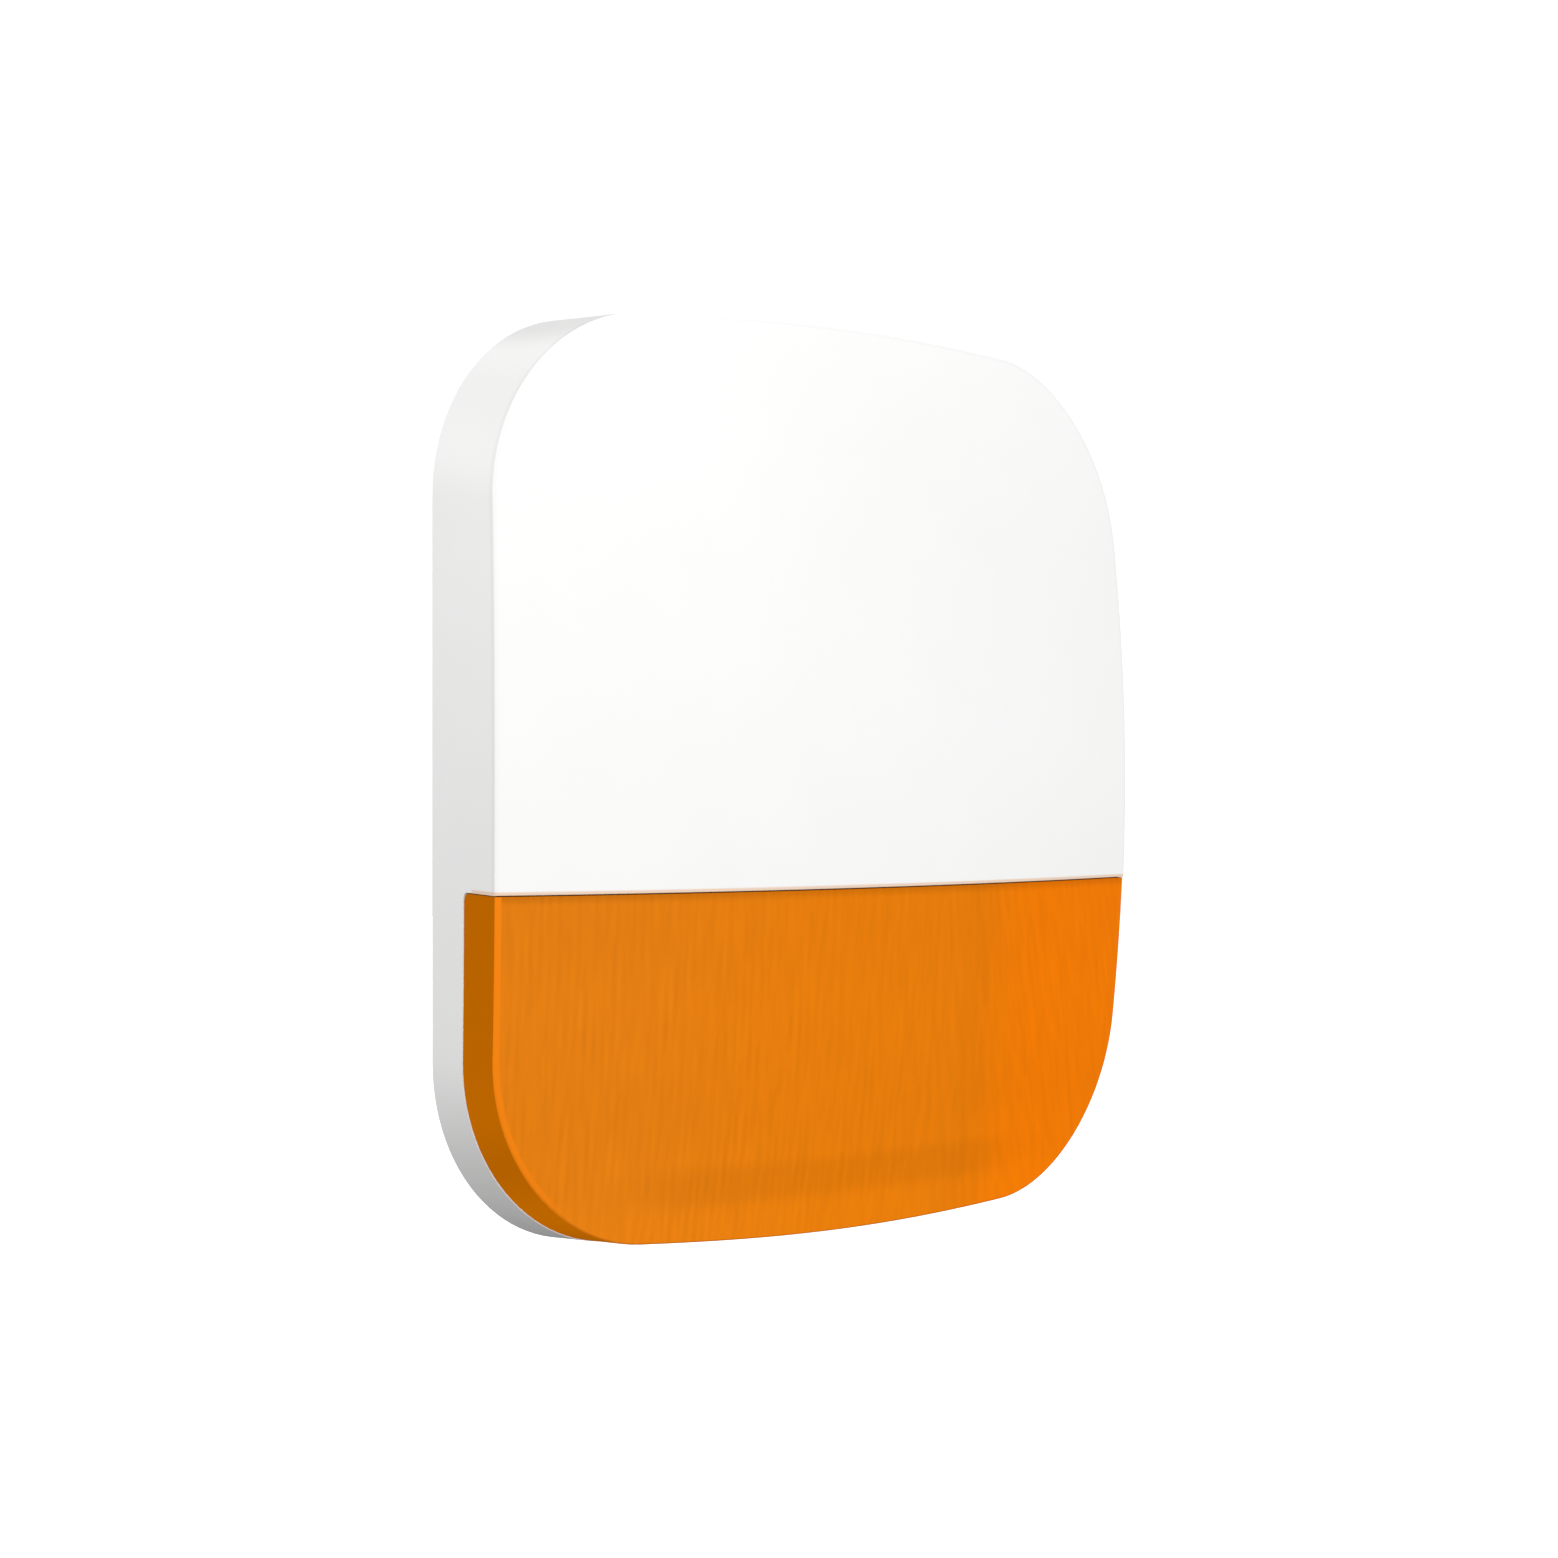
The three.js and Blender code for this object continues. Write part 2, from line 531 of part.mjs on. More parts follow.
// Level slots behind the sounder that fill a circle.
function grilleSlots() {
  const { pitch, rows, reach, halfSlot } = GRILLE;
  const slots = [];
  for (let i = 0; i < rows; i++) {
    const dz = pitch * (i - (rows - 1) / 2);
    const halfLength = Math.sqrt(reach ** 2 - dz ** 2) - halfSlot;
    slots.push(slotTool(SOUNDER.x, SOUNDER.z + dz, halfLength, 0, halfSlot));
  }
  return slots;
}

// The holes in the rear housing for its screws, the controls, the cable and the battery.
function housingHoles() {
  const { x0, x1, z0, z1 } = BATTERY_WINDOW;
  const slider = { halfX: 2.6, halfZ: 2 };
  return [
    ...HOUSING_SCREWS.map(([x, z]) => drill(SCREWS.housing.hole, x, z, 10)),
    ...BOARD_SCREWS.map(([x, z]) => (
      rodY(SCREWS.board.radius + GAP, x, z, PANEL_FRONT - PAST, -REACH, 8)
    )),
    ...sounderScrews().map(([x, z]) => drill(SCREWS.sounder.radius + GAP, x, z)),
    drill(SCREWS.door.hole, DOOR_SCREW.x, DOOR_SCREW.z, 12),
    drill(TAMPER.plunger + SLIDE_GAP, TAMPER.x, TAMPER.z, 20),
    drill(PAIRING.radius + SLIDE_GAP, PAIRING.x, PAIRING.z, 20),
    drill(CABLE_ENTRY.radius, CABLE_ENTRY.x, CABLE_ENTRY.z, 28),
    box(
      POWER.x - slider.halfX, POWER.x + POWER.travel + slider.halfX,
      PAST, -REACH,
      POWER.z - slider.halfZ, POWER.z + slider.halfZ,
    ),
    box(x0, x1, PANEL_BACK + PAST, PANEL_FRONT - PAST, z0, z1),
  ];
}

function rearHousing() {
  const edge = WALL + FIT;
  const skirt = cut(drafted(edge, SKIRT_BACK, PANEL_BACK - PAST), drafted(edge + 2));
  const housing = join(
    drafted(edge, PANEL_BACK, PANEL_FRONT),
    skirt,
    ...HOOKS.map(([x, z]) => hookCatch(x, z)),
    ...BOARD_SCREWS.map(([x, z]) => rodY(BOARD_POST, x, z, PANEL_FRONT + PAST, BOARD_BACK + GAP)),
    rodY(PLUNGER_GUIDE.radius, TAMPER.x, TAMPER.z, PLUNGER_GUIDE.back, PANEL_BACK - PAST, 24),
  );
  const { top, soundHalfWidth, soundFront, screwHalfWidth } = RIM_ROOM;
  const soundExit = box(-soundHalfWidth, soundHalfWidth, PAST, soundFront, -FAR, top);
  const screwBossRoom = box(-screwHalfWidth, screwHalfWidth, PAST, PANEL_BACK + GAP, -FAR, top);
  return cut(housing, ...grilleSlots(), ...housingHoles(), soundExit, screwBossRoom);
}

// ---------- battery compartment ----------
const DOOR = { x0: -93.4, x1: -3, z0: -30, z1: 24, corner: 5, back: -7.9, front: PANEL_BACK + GAP };
const PLUG = { margin: 0.4, wall: 1.6, corner: 3 };
const HOLDER = { x0: -89.4, x1: -16.1, halfHeight: 20.6, wall: 1.5, back: -14.4, front: -35.2 };

// A lid with a rim that plugs into the battery window, finger grooves and a screw hole.
function batteryDoor() {
  const { x0, x1, z0, z1 } = BATTERY_WINDOW;
  const { margin, wall, corner } = PLUG;
  const plate = roundedPlate(DOOR.x0, DOOR.x1, DOOR.z0, DOOR.z1, DOOR.corner, DOOR.back, DOOR.front);
  const rim = (inset, radius, front) => (
    roundedPlate(x0 + inset, x1 - inset, z0 + inset, z1 - inset, radius, DOOR.front, front)
  );
  const plug = rim(margin, corner, PANEL_FRONT + 0.4).subtract(rim(margin + wall, corner - 1, -REACH));
  const groove = { firstX: -86, pitch: 4, count: 4, halfWidth: 0.7, depth: 0.7, halfHeight: 13 };
  const grooves = [];
  const floor = DOOR.back - groove.depth;
  for (let i = 0; i < groove.count; i++) {
    const x = groove.firstX + groove.pitch * i;
    grooves.push(block(x, CELL.z, groove.halfWidth, groove.halfHeight, DOOR.back + PAST, floor));
  }
  return cut(join(plate, plug), drill(SCREWS.door.hole, DOOR_SCREW.x, DOOR_SCREW.z, 12), ...grooves);
}

function cellX(index) {
  return CELL.firstX + CELL.pitch * index;
}

// A tray with a round bed for each cell.
function batteryHolder() {
  const { x0, x1, halfHeight, wall, back, front } = HOLDER;
  const z0 = CELL.z - halfHeight;
  const z1 = CELL.z + halfHeight;
  const tray = box(x0, x1, back, front, z0, z1);
  const mouth = box(x0 + wall, x1 - wall, 0, CELL.y - 4, z0 + wall, z1 - wall);
  const beds = [];
  for (let i = 0; i < CELL.count; i++) {
    beds.push(rodZ(CELL.radius + GAP, cellX(i), CELL.y, z0 + wall, z1 - wall, 20));
  }
  return cut(tray, mouth, ...beds);
}

// A cell with its raised terminal up or down. Neighbours point opposite ways.
function batteryCell(index) {
  const terminal = { radius: 3, height: 1.2 };
  const x = cellX(index);
  const up = index % 2 === 0 ? 1 : -1;
  const end = CELL.z + (up * CELL.length) / 2;
  const otherEnd = CELL.z - (up * CELL.length) / 2;
  const shoulder = end - up * terminal.height;
  return join(
    rodZ(CELL.radius, x, CELL.y, otherEnd, shoulder, 20),
    rodZ(terminal.radius, x, CELL.y, shoulder - up, end, 10),
  );
}

// A sheet-metal contact strip with a pressed-out pad for each cell.
function batteryContact(side) {
  const strip = { x0: -86, x1: -19.5, back: CELL.y + 5, front: CELL.y - 3, thickness: 0.5 };
  const pad = { radius: 2.6, height: 1.6 };
  const wallZ = CELL.z + side * (HOLDER.halfHeight - HOLDER.wall - GAP);
  const sheet = box(strip.x0, strip.x1, strip.back, strip.front, wallZ, wallZ - side * strip.thickness);
  const pads = [];
  for (let i = 0; i < CELL.count; i++) {
    pads.push(rodZ(pad.radius, cellX(i), CELL.y, wallZ, wallZ - side * pad.height, 10));
  }
  return join(sheet, ...pads);
}

// ---------- sounder ----------
const CUP = { wall: 2, flangeThickness: 1.8, chamfer: 3, seat: -20.7, seatWidth: 5 };
const PORT_PLATE = { back: -14.6, throatBack: -17, front: -19, horn: 22, throat: 14, rim: 16 };
const DIAPHRAGM = { radius: 31, back: -20, front: -20.4 };
const CERAMIC = { radius: 12.5, back: -19.2, front: -19.7 };

function sounderScrews() {
  return SOUNDER_SCREW_ANGLES.map((degrees) => {
    const angle = THREE.MathUtils.degToRad(degrees);
    const x = SOUNDER.x + SOUNDER.screwRadius * Math.cos(angle);
    const z = SOUNDER.z + SOUNDER.screwRadius * Math.sin(angle);
    return [x, z];
  });
}

// A cup that is open to the rear, with a flange for its screws and a seat for the diaphragm.
function sounderCup() {
  const { x, z, radius, flange, back, front } = SOUNDER;
  const { wall, flangeThickness, chamfer, seat, seatWidth } = CUP;
  const flangeFront = back - flangeThickness;
  const inner = radius - wall;
  const cup = turnedY([
    [0, front], [radius - chamfer, front], [radius, front + chamfer], [radius, flangeFront],
    [flange, flangeFront], [flange, back], [inner, back], [inner, seat],
    [inner - seatWidth, seat], [inner - seatWidth, front + wall], [0, front + wall],
  ], x, z, 28);
  return cut(cup, ...sounderScrews().map(([sx, sz]) => drill(SCREWS.sounder.hole, sx, sz)));
}

// A ring behind the diaphragm that widens to the rear like a short horn.
function sounderPortPlate() {
  const { back, throatBack, front, horn, throat, rim } = PORT_PLATE;
  const edge = SOUNDER.radius - CUP.wall - GAP;
  const profile = [
    [rim, front], [edge, front], [edge, back], [horn, back],
    [throat, throatBack], [throat, front], [rim, front],
  ];
  return turnedY(profile, SOUNDER.x, SOUNDER.z, 24);
}

function sounderDisc({ radius, back, front }) {
  return rodY(radius, SOUNDER.x, SOUNDER.z, back, front, 24);
}

// ---------- main board and its parts ----------
const TRANSFORMER = { x: 53, z: -6, core: 7, bobbin: 5, height: 12, legZ: 6, halfLeg: 2 };
const CAPACITOR = { x: 52, z: 14, radius: 5, height: 14, bead: 0.4 };
const RADIO = { x: 73, z: 14, halfWidth: 9, halfHeight: 10, card: 0.9, can: 3, canTop: 20 };
const TERMINALS = { x0: 60, x1: 81, z0: -22.5, z1: -13, height: 9, firstX: 63, pitch: 5, count: 4 };
const PROCESSOR = { x: 71, z: -4, half: 5, height: 1.4 };

function mainBoard() {
  const board = roundedPlate(BOARD.x0, BOARD.x1, BOARD.z0, BOARD.z1, 2, BOARD_BACK, BOARD_FRONT);
  return cut(board, ...BOARD_SCREWS.map(([x, z]) => drill(SCREWS.board.hole, x, z)));
}

// A wound transformer: two legs of the core with a bobbin through them.
function transformer() {
  const { x, z, core, bobbin, height, legZ, halfLeg } = TRANSFORMER;
  const front = PARTS_BACK - height;
  return join(
    block(x, z - legZ, core, halfLeg, PARTS_BACK, front),
    block(x, z + legZ, core, halfLeg, PARTS_BACK, front),
    block(x, z, bobbin, legZ, PARTS_BACK, front - 1),
  );
}

// A can capacitor that stands on the board, with a rolled bead near its foot.
function capacitor() {
  const { x, z, radius, height, bead } = CAPACITOR;
  const front = PARTS_BACK - height;
  const waist = radius - bead;
  return turnedY([
    [0, front], [waist, front], [radius, front + bead], [radius, PARTS_BACK - 2], [waist, PARTS_BACK - 1.5],
    [radius, PARTS_BACK - 1], [radius, PARTS_BACK], [0, PARTS_BACK],
  ], x, z, 22);
}

function radioModule() {
  const { x, z, halfWidth, halfHeight, card, can, canTop } = RADIO;
  const left = x - halfWidth + 1;
  const right = x + halfWidth - 1;
  return join(
    block(x, z, halfWidth, halfHeight, PARTS_BACK, PARTS_BACK - card),
    box(left, right, PARTS_BACK - card / 2, PARTS_BACK - can, z - halfHeight + 1, canTop),
  );
}

// A wire that rises from its foot on the board and curves over the sounder's shoulder.
function antenna() {
  const foot = { x: 87.5, z: 12, radius: 1.1, height: 3.6 };
  const height = PARTS_BACK - 4;
  const route = [
    [foot.x, height + 1, foot.z], [88.5, height + 0.6, 34], [87, height + 0.2, 54],
    [79, height, 68], [66, height, 84], [50, height, 104],
  ];
  return join(
    routedWire(route, 0.7, 16),
    rodY(foot.radius, foot.x, foot.z, PARTS_BACK, PARTS_BACK - foot.height, 10),
  );
}

// A row of screw terminals: a wire hole below and a screw hole in front for each.
function terminalBlock() {
  const { x0, x1, z0, z1, height, firstX, pitch, count } = TERMINALS;
  const wireHole = { radius: 1.4, height: 3.4, end: -18 };
  const screwHole = { radius: 1.5, z: -17, floor: 7 };
  const tools = [];
  for (let i = 0; i < count; i++) {
    const x = firstX + pitch * i;
    tools.push(rodZ(wireHole.radius, x, PARTS_BACK - wireHole.height, z0 - PAST, wireHole.end, 10));
    tools.push(rodY(screwHole.radius, x, screwHole.z, PARTS_BACK - screwHole.floor, -REACH, 10));
  }
  return cut(box(x0, x1, PARTS_BACK, PARTS_BACK - height, z0, z1), ...tools);
}

function processor() {
  const { x, z, half, height } = PROCESSOR;
  return block(x, z, half, half, PARTS_BACK, PARTS_BACK - height);
}

// ---------- controls on the rear ----------
const SWITCH = { half: 2.3, height: 1.5, nub: 1.4, back: BOARD_BACK + GAP };
const FLANGE_BACK = PANEL_FRONT - 0.4; // flanges keep the plunger and the button inside the panel
const POWER_BODY = { halfX: 6, halfZ: 3, back: -14.9 };
const SLIDER = { halfX: 1.8, halfZ: 1.6, back: -9.2, front: -14.5, groove: 0.5, grooveX: 0.9 };
const SLIDER_FOOT = { halfX: 3.4, halfZ: 2.4, back: -13.2, front: -14.6 };
const GROMMET = {
  lip: 1.6, thickness: 0.5, flangeBack: -8.6, cupRadius: 3, cupFloorRadius: 2.4, cupFloor: -11,
};
const SPRING = { radius: 4.1, wire: 0.35, turns: 4, back: -14.8, front: -19.2 };

// A small square switch behind the board, with a round nub that ends at nubTip.
function squareSwitch({ x, z }, nubTip) {
  const { half, height, nub, back } = SWITCH;
  return join(block(x, z, half, half, back, back + height), rodY(nub, x, z, back + PAST, nubTip));
}

function tamperPlunger() {
  const { x, z, plunger, tip, flange, flangeFront } = TAMPER;
  return join(
    rodY(plunger, x, z, -PLATE - GAP, tip, 18),
    rodY(flange, x, z, FLANGE_BACK, flangeFront, 20),
  );
}

// The line of a helix about an axis along Y.
class SpringCurve extends THREE.Curve {
  getPoint(t, target = new THREE.Vector3()) {
    const angle = 2 * Math.PI * SPRING.turns * t;
    const y = THREE.MathUtils.lerp(SPRING.back, SPRING.front, t);
    const x = TAMPER.x + SPRING.radius * Math.cos(angle);
    return target.set(x, y, TAMPER.z + SPRING.radius * Math.sin(angle));
  }
}

function tamperSpring() {
  return wire(new SpringCurve(), SPRING.wire, 10 * SPRING.turns);
}

function pairingButton() {
  const { x, z, radius, back, tip, flange, flangeFront } = PAIRING;
  return join(rodY(radius, x, z, back, tip, 18), rodY(flange, x, z, FLANGE_BACK, flangeFront, 20));
}

function powerSwitchBody() {
  const { halfX, halfZ, back } = POWER_BODY;
  return block(POWER.x + POWER.travel / 2, POWER.z, halfX, halfZ, SWITCH.back, back);
}

// The slider's stem with two finger grooves, on a foot inside the housing.
function powerSwitchSlider() {
  const { x, z } = POWER;
  const { halfX, halfZ, back, front, groove, grooveX } = SLIDER;
  const stem = block(x, z, halfX, halfZ, back, front);
  const foot = block(x, z, SLIDER_FOOT.halfX, SLIDER_FOOT.halfZ, SLIDER_FOOT.back, SLIDER_FOOT.front);
  const grooves = [-grooveX, grooveX].map((dx) => (
    block(x + dx, z, groove / 2, 2 * halfZ, back + PAST, back - groove)
  ));
  return cut(join(stem, foot), ...grooves);
}

// A rubber plug for the cable hole, with a closed membrane.
function cableGrommet() {
  const { x, z, radius } = CABLE_ENTRY;
  const { lip, thickness, flangeBack, cupRadius, cupFloorRadius, cupFloor } = GROMMET;
  const neck = radius - GAP;
  const flange = radius + lip;
  const flangeFront = PANEL_BACK + GAP;
  const lipBack = PANEL_FRONT - GAP;
  const tip = lipBack - thickness;
  return turnedY([
    [0, tip], [neck - thickness, tip], [flange, lipBack - thickness / 2], [flange, lipBack], [neck, lipBack],
    [neck, flangeFront], [flange, flangeFront], [flange, flangeBack],
    [cupRadius, flangeBack], [cupFloorRadius, cupFloor], [0, cupFloor],
  ], x, z, 20);
}

// The sounder's lead, from the top of its cup down to the board.
function sounderCable() {
  return routedWire([[26, -37.2, 48], [31, -39, 40], [38, -37, 28], [44, -30, 18], [46, -23.4, 8]], 1.1);
}

// The strobe's lead, from the back of the main board through the floor to the back of the strobe board.
function strobeCable() {
  const { x } = STROBE_CABLE_HOLE;
  return routedWire([
    [x, -19, -19], [x, -15.6, -22], [x, -14, -28], [x, -14, -44], [x, -14.1, -57],
    [x, -15.4, -61.4], [x, -19.3, -63.4],
  ], 0.9);
}

// ---------- strobe ----------
const LED = { half: 2.6, height: 1.2, domeRadius: 2.2, domeHeight: 1.8, domeSteps: 3 };
const REFLECTOR = { back: FLOOR_FRONT - FIT, front: -26, thickness: 1.6, inset: 8, wall: 1.8 };
const LUG_ROOM = 5; // radius left free round the lens's lugs and the housing's bosses
const CONE = { baseOuter: 5.6, mouthOuter: 14, baseInner: 4.2, mouthInner: 13 };

function strobeBoard() {
  const { z, halfWidth, halfHeight } = STROBE;
  return roundedPlate(-halfWidth, halfWidth, z - halfHeight, z + halfHeight, 2, BOARD_BACK, BOARD_FRONT);
}

function ledX(index) {
  return STROBE.ledPitch * (index - (STROBE.ledCount - 1) / 2);
}

// A square LED with a domed lens.
function strobeLed(index) {
  const x = ledX(index);
  const { half, height, domeRadius, domeHeight, domeSteps } = LED;
  const front = PARTS_BACK - height;
  const foot = PARTS_BACK - height / 2;
  const profile = [];
  for (let i = 0; i <= domeSteps; i++) {
    const angle = (Math.PI / 2) * (1 - i / domeSteps);
    profile.push([domeRadius * Math.cos(angle), front - domeHeight * Math.sin(angle)]);
  }
  profile[0][0] = 0;
  profile.push([domeRadius, foot], [0, foot]);
  return join(block(x, STROBE.z, half, half, PARTS_BACK, front), turnedY(profile, x, STROBE.z, 16));
}

// A tray in front of the strobe board, with a cone round each LED.
function reflector() {
  const { back, front, thickness, inset, wall } = REFLECTOR;
  const top = LENS_TOP - LENS_WALL - 4;
  const tray = lowerBlock(inset, top, back, front);
  const hollow = lowerBlock(inset + wall, top - wall, 0, front + thickness);
  const coneWalls = [];
  const coneHollows = [];
  for (let i = 0; i < STROBE.ledCount; i++) {
    coneWalls.push(rodY(CONE.baseOuter, ledX(i), STROBE.z, BOARD_FRONT - FIT, front, 20, CONE.mouthOuter));
    coneHollows.push(rodY(CONE.baseInner, ledX(i), STROBE.z, BOARD_FRONT, front - 0.5, 20, CONE.mouthInner));
  }
  const lensLugRoom = LENS_SCREWS.map(([x, z]) => drill(LUG_ROOM, x, z, 12));
  const bossRoom = HOUSING_SCREWS.map(([x, z]) => rodY(LUG_ROOM, x, z, PAST, UNDERCUT - FIT));
  return cut(join(tray.subtract(hollow), ...coneWalls), ...coneHollows, ...lensLugRoom, ...bossRoom);
}

// ---------- assembly ----------
const group = new THREE.Group();

function add(name, shape, finish) {
  const material = new THREE.MeshStandardMaterial(FINISHES[finish]);
  const mesh = new THREE.Mesh(surface(shape), material);
  mesh.name = name;
  group.add(mesh);
}

// Adds a screw at each place, numbered if there is more than one.
function addScrews(name, kind, places, yHead, yTip) {
  places.forEach(([x, z], i) => {
    const fullName = places.length > 1 ? `${name}_${i + 1}` : name;
    add(fullName, crossScrew(kind, x, z, yHead, yTip), "steel");
  });
}

add("wall_bracket", wallBracket(), "bracket");
add("bracket_insert", bracketInsert(), "brass");
add("locking_screw", lockingScrew(), "steel");
add("retaining_clip", retainingClip(), "steel");

add("front_cover", frontCover(), "white");
add("strobe_lens", strobeLens(), "orange");
add("lens_gasket", lensGasket(), "rubber");
add("rear_housing", rearHousing(), "innerWhite");
add("housing_gasket", housingGasket(), "rubber");
addScrews("housing_screw", SCREWS.housing, HOUSING_SCREWS, PANEL_BACK + GAP, -19.4);
addScrews("lens_screw", SCREWS.lens, LENS_SCREWS, FLOOR_BACK + GAP, -23.4);

add("battery_door", batteryDoor(), "innerWhite");
addScrews("battery_door_screw", SCREWS.door, [[DOOR_SCREW.x, DOOR_SCREW.z]], DOOR.back + GAP, -13.4);
add("battery_holder", batteryHolder(), "blackPlastic");
for (let i = 0; i < CELL.count; i++) {
  add(`battery_cell_${i + 1}`, batteryCell(i), "cell");
}
add("battery_contact_upper", batteryContact(1), "steel");
add("battery_contact_lower", batteryContact(-1), "steel");

add("sounder_cup", sounderCup(), "blackPlastic");
add("piezo_diaphragm", sounderDisc(DIAPHRAGM), "brass");
add("piezo_ceramic", sounderDisc(CERAMIC), "ceramic");
add("sounder_port_plate", sounderPortPlate(), "blackPlastic");
addScrews("sounder_screw", SCREWS.sounder, sounderScrews(), -15.3, -10.6);

add("main_board", mainBoard(), "circuit");
addScrews("board_screw", SCREWS.board, BOARD_SCREWS, PARTS_BACK, -14.4);
add("transformer", transformer(), "blackPlastic");
add("capacitor", capacitor(), "blackPlastic");
add("radio_module", radioModule(), "steel");
add("antenna", antenna(), "brass");
add("terminal_block", terminalBlock(), "terminal");
add("processor", processor(), "blackPlastic");

add("tamper_plunger", tamperPlunger(), "blackPlastic");
add("tamper_spring", tamperSpring(), "steel");
add("tamper_switch", squareSwitch(TAMPER, -17.7), "blackPlastic");
add("power_switch_body", powerSwitchBody(), "steel");
add("power_switch_slider", powerSwitchSlider(), "blackPlastic");
add("pairing_button", pairingButton(), "blackPlastic");
add("pairing_switch", squareSwitch(PAIRING, -17.4), "blackPlastic");
add("cable_grommet", cableGrommet(), "rubber");
add("sounder_cable", sounderCable(), "cable");

add("strobe_board", strobeBoard(), "circuit");
for (let i = 0; i < STROBE.ledCount; i++) {
  add(`strobe_led_${i + 1}`, strobeLed(i), "led");
}
add("reflector", reflector(), "white");
add("strobe_cable", strobeCable(), "cable");

export default group;
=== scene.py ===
"""Looks of the wall-mounted alarm siren, in metres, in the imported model's frame.

+X is to the right seen from the front, the front faces -Y, the wall is at Y = 0 and +Z is up.
"""

import json
import math

import bmesh
import bpy
from mathutils import Matrix, Vector
from mathutils.kdtree import KDTree


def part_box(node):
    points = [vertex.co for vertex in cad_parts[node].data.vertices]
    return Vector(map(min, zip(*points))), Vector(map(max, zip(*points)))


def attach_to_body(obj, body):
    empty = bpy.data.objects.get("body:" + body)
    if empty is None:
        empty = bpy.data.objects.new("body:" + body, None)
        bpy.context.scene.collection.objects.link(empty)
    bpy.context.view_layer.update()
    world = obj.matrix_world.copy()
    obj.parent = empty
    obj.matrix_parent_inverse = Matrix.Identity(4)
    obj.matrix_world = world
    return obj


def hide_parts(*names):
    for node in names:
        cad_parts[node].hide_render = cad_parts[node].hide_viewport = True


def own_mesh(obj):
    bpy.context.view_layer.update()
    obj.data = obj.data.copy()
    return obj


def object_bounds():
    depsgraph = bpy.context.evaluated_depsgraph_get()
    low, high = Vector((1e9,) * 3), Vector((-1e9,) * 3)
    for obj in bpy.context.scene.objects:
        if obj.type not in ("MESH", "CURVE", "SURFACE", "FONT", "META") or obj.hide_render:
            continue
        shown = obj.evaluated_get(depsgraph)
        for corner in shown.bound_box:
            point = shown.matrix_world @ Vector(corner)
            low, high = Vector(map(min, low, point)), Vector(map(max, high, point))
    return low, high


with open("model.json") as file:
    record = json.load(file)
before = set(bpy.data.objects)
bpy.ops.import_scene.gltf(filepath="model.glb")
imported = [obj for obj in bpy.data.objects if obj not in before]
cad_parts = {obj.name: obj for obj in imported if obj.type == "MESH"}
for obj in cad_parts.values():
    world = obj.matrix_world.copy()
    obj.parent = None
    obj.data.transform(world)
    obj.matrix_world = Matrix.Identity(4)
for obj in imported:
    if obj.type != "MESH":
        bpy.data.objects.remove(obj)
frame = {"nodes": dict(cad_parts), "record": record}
CAD_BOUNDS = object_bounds()
NODES = frame["nodes"]
RECORD = frame["record"]
BODY_OF = {node: body for body, nodes in RECORD["behaviour"]["bodies"].items() for node in nodes}
SLOT_OF = {part["node"]: part["material_slot"] for part in RECORD["subparts"]}

MM = 0.001
WELD = 0.002 * MM  # vertices nearer to each other than this are one

# ---------- the outer form, as in the CAD source ----------
LOWEST, HIGHEST = CAD_BOUNDS
HALF_WIDTH = (HIGHEST.x - LOWEST.x) / 2
HALF_HEIGHT = (HIGHEST.z - LOWEST.z) / 2
DEPTH = HIGHEST.y - LOWEST.y
DOME_DROP_X = 13.5 * MM
DOME_DROP_Z = 14.3 * MM
CORNER_X = 40.5 * MM
CORNER_Z = 50.5 * MM
SIDE_DEPTH = 38 * MM
DRAFT_X = 0.033
DRAFT_Z = 0.025
BOW_X = 0.038
BOW_Z = 0.05
DIVISION_Z = -28.7 * MM
LENS_SHARE = 0.515
LENS_CORNER = 2.3 * MM
LENS_SKIN = 0.2 * MM
GAP = 0.3 * MM

# ---------- the finer outer layer ----------
COVER_EDGE = 0.5 * MM  # rounding between the sides and the domed face
LENS_EDGE = 0.6 * MM  # the same on the lens
DIVISION_EDGE = 0.3 * MM  # rounding of both pieces along the division line
EDGE_START = math.radians(28)  # that rounding meets the domed face at this angle
SKIN = 1.2 * MM  # thickness of the outer layer
HIDDEN = 0.03 * MM  # how far the structure inside that layer keeps back from its faces
ON_DOME = 0.02 * MM  # points within this of the dome lie on it
EDGE_ATTRIBUTE = "from_edge"  # distance from the front edge, in metres
EDGE_SAMPLES = 4  # points on each piece of the front edge from which that distance is taken
EVEN_SHARE = 0.85  # share of the sides' depth that has evenly spaced rings
CLOSER_SHARES = [EVEN_SHARE, 0.93, 0.97, 1]  # where the last rings are, next to the rounded edge
DOME_RINGS = (0.9 * MM, 1.3 * MM, 1.8 * MM, 2.6 * MM)  # how far in from the edge the close rings are
LAST_CLOSE_RING = 3.6 * MM  # from here the rings shrink evenly to the middle
CORNER_ROUNDS = 12  # repeats that settle where a side meets the domed face
PAST_WALL = 2 * MM  # how far a cutting solid reaches behind the wall
OUTSIDE = 1.1  # a half size times this is clear of the form
OUTSIDE_DEPTH = 1.3  # and so is the depth times this


# ---------- mesh helpers ----------
def object_from(bm, name):
    """A new scene object from a bmesh, with its faces turned outwards."""
    bmesh.ops.recalc_face_normals(bm, faces=bm.faces)
    mesh = bpy.data.meshes.new(name)
    bm.to_mesh(mesh)
    bm.free()
    obj = bpy.data.objects.new(name, mesh)
    bpy.context.scene.collection.objects.link(obj)
    return obj


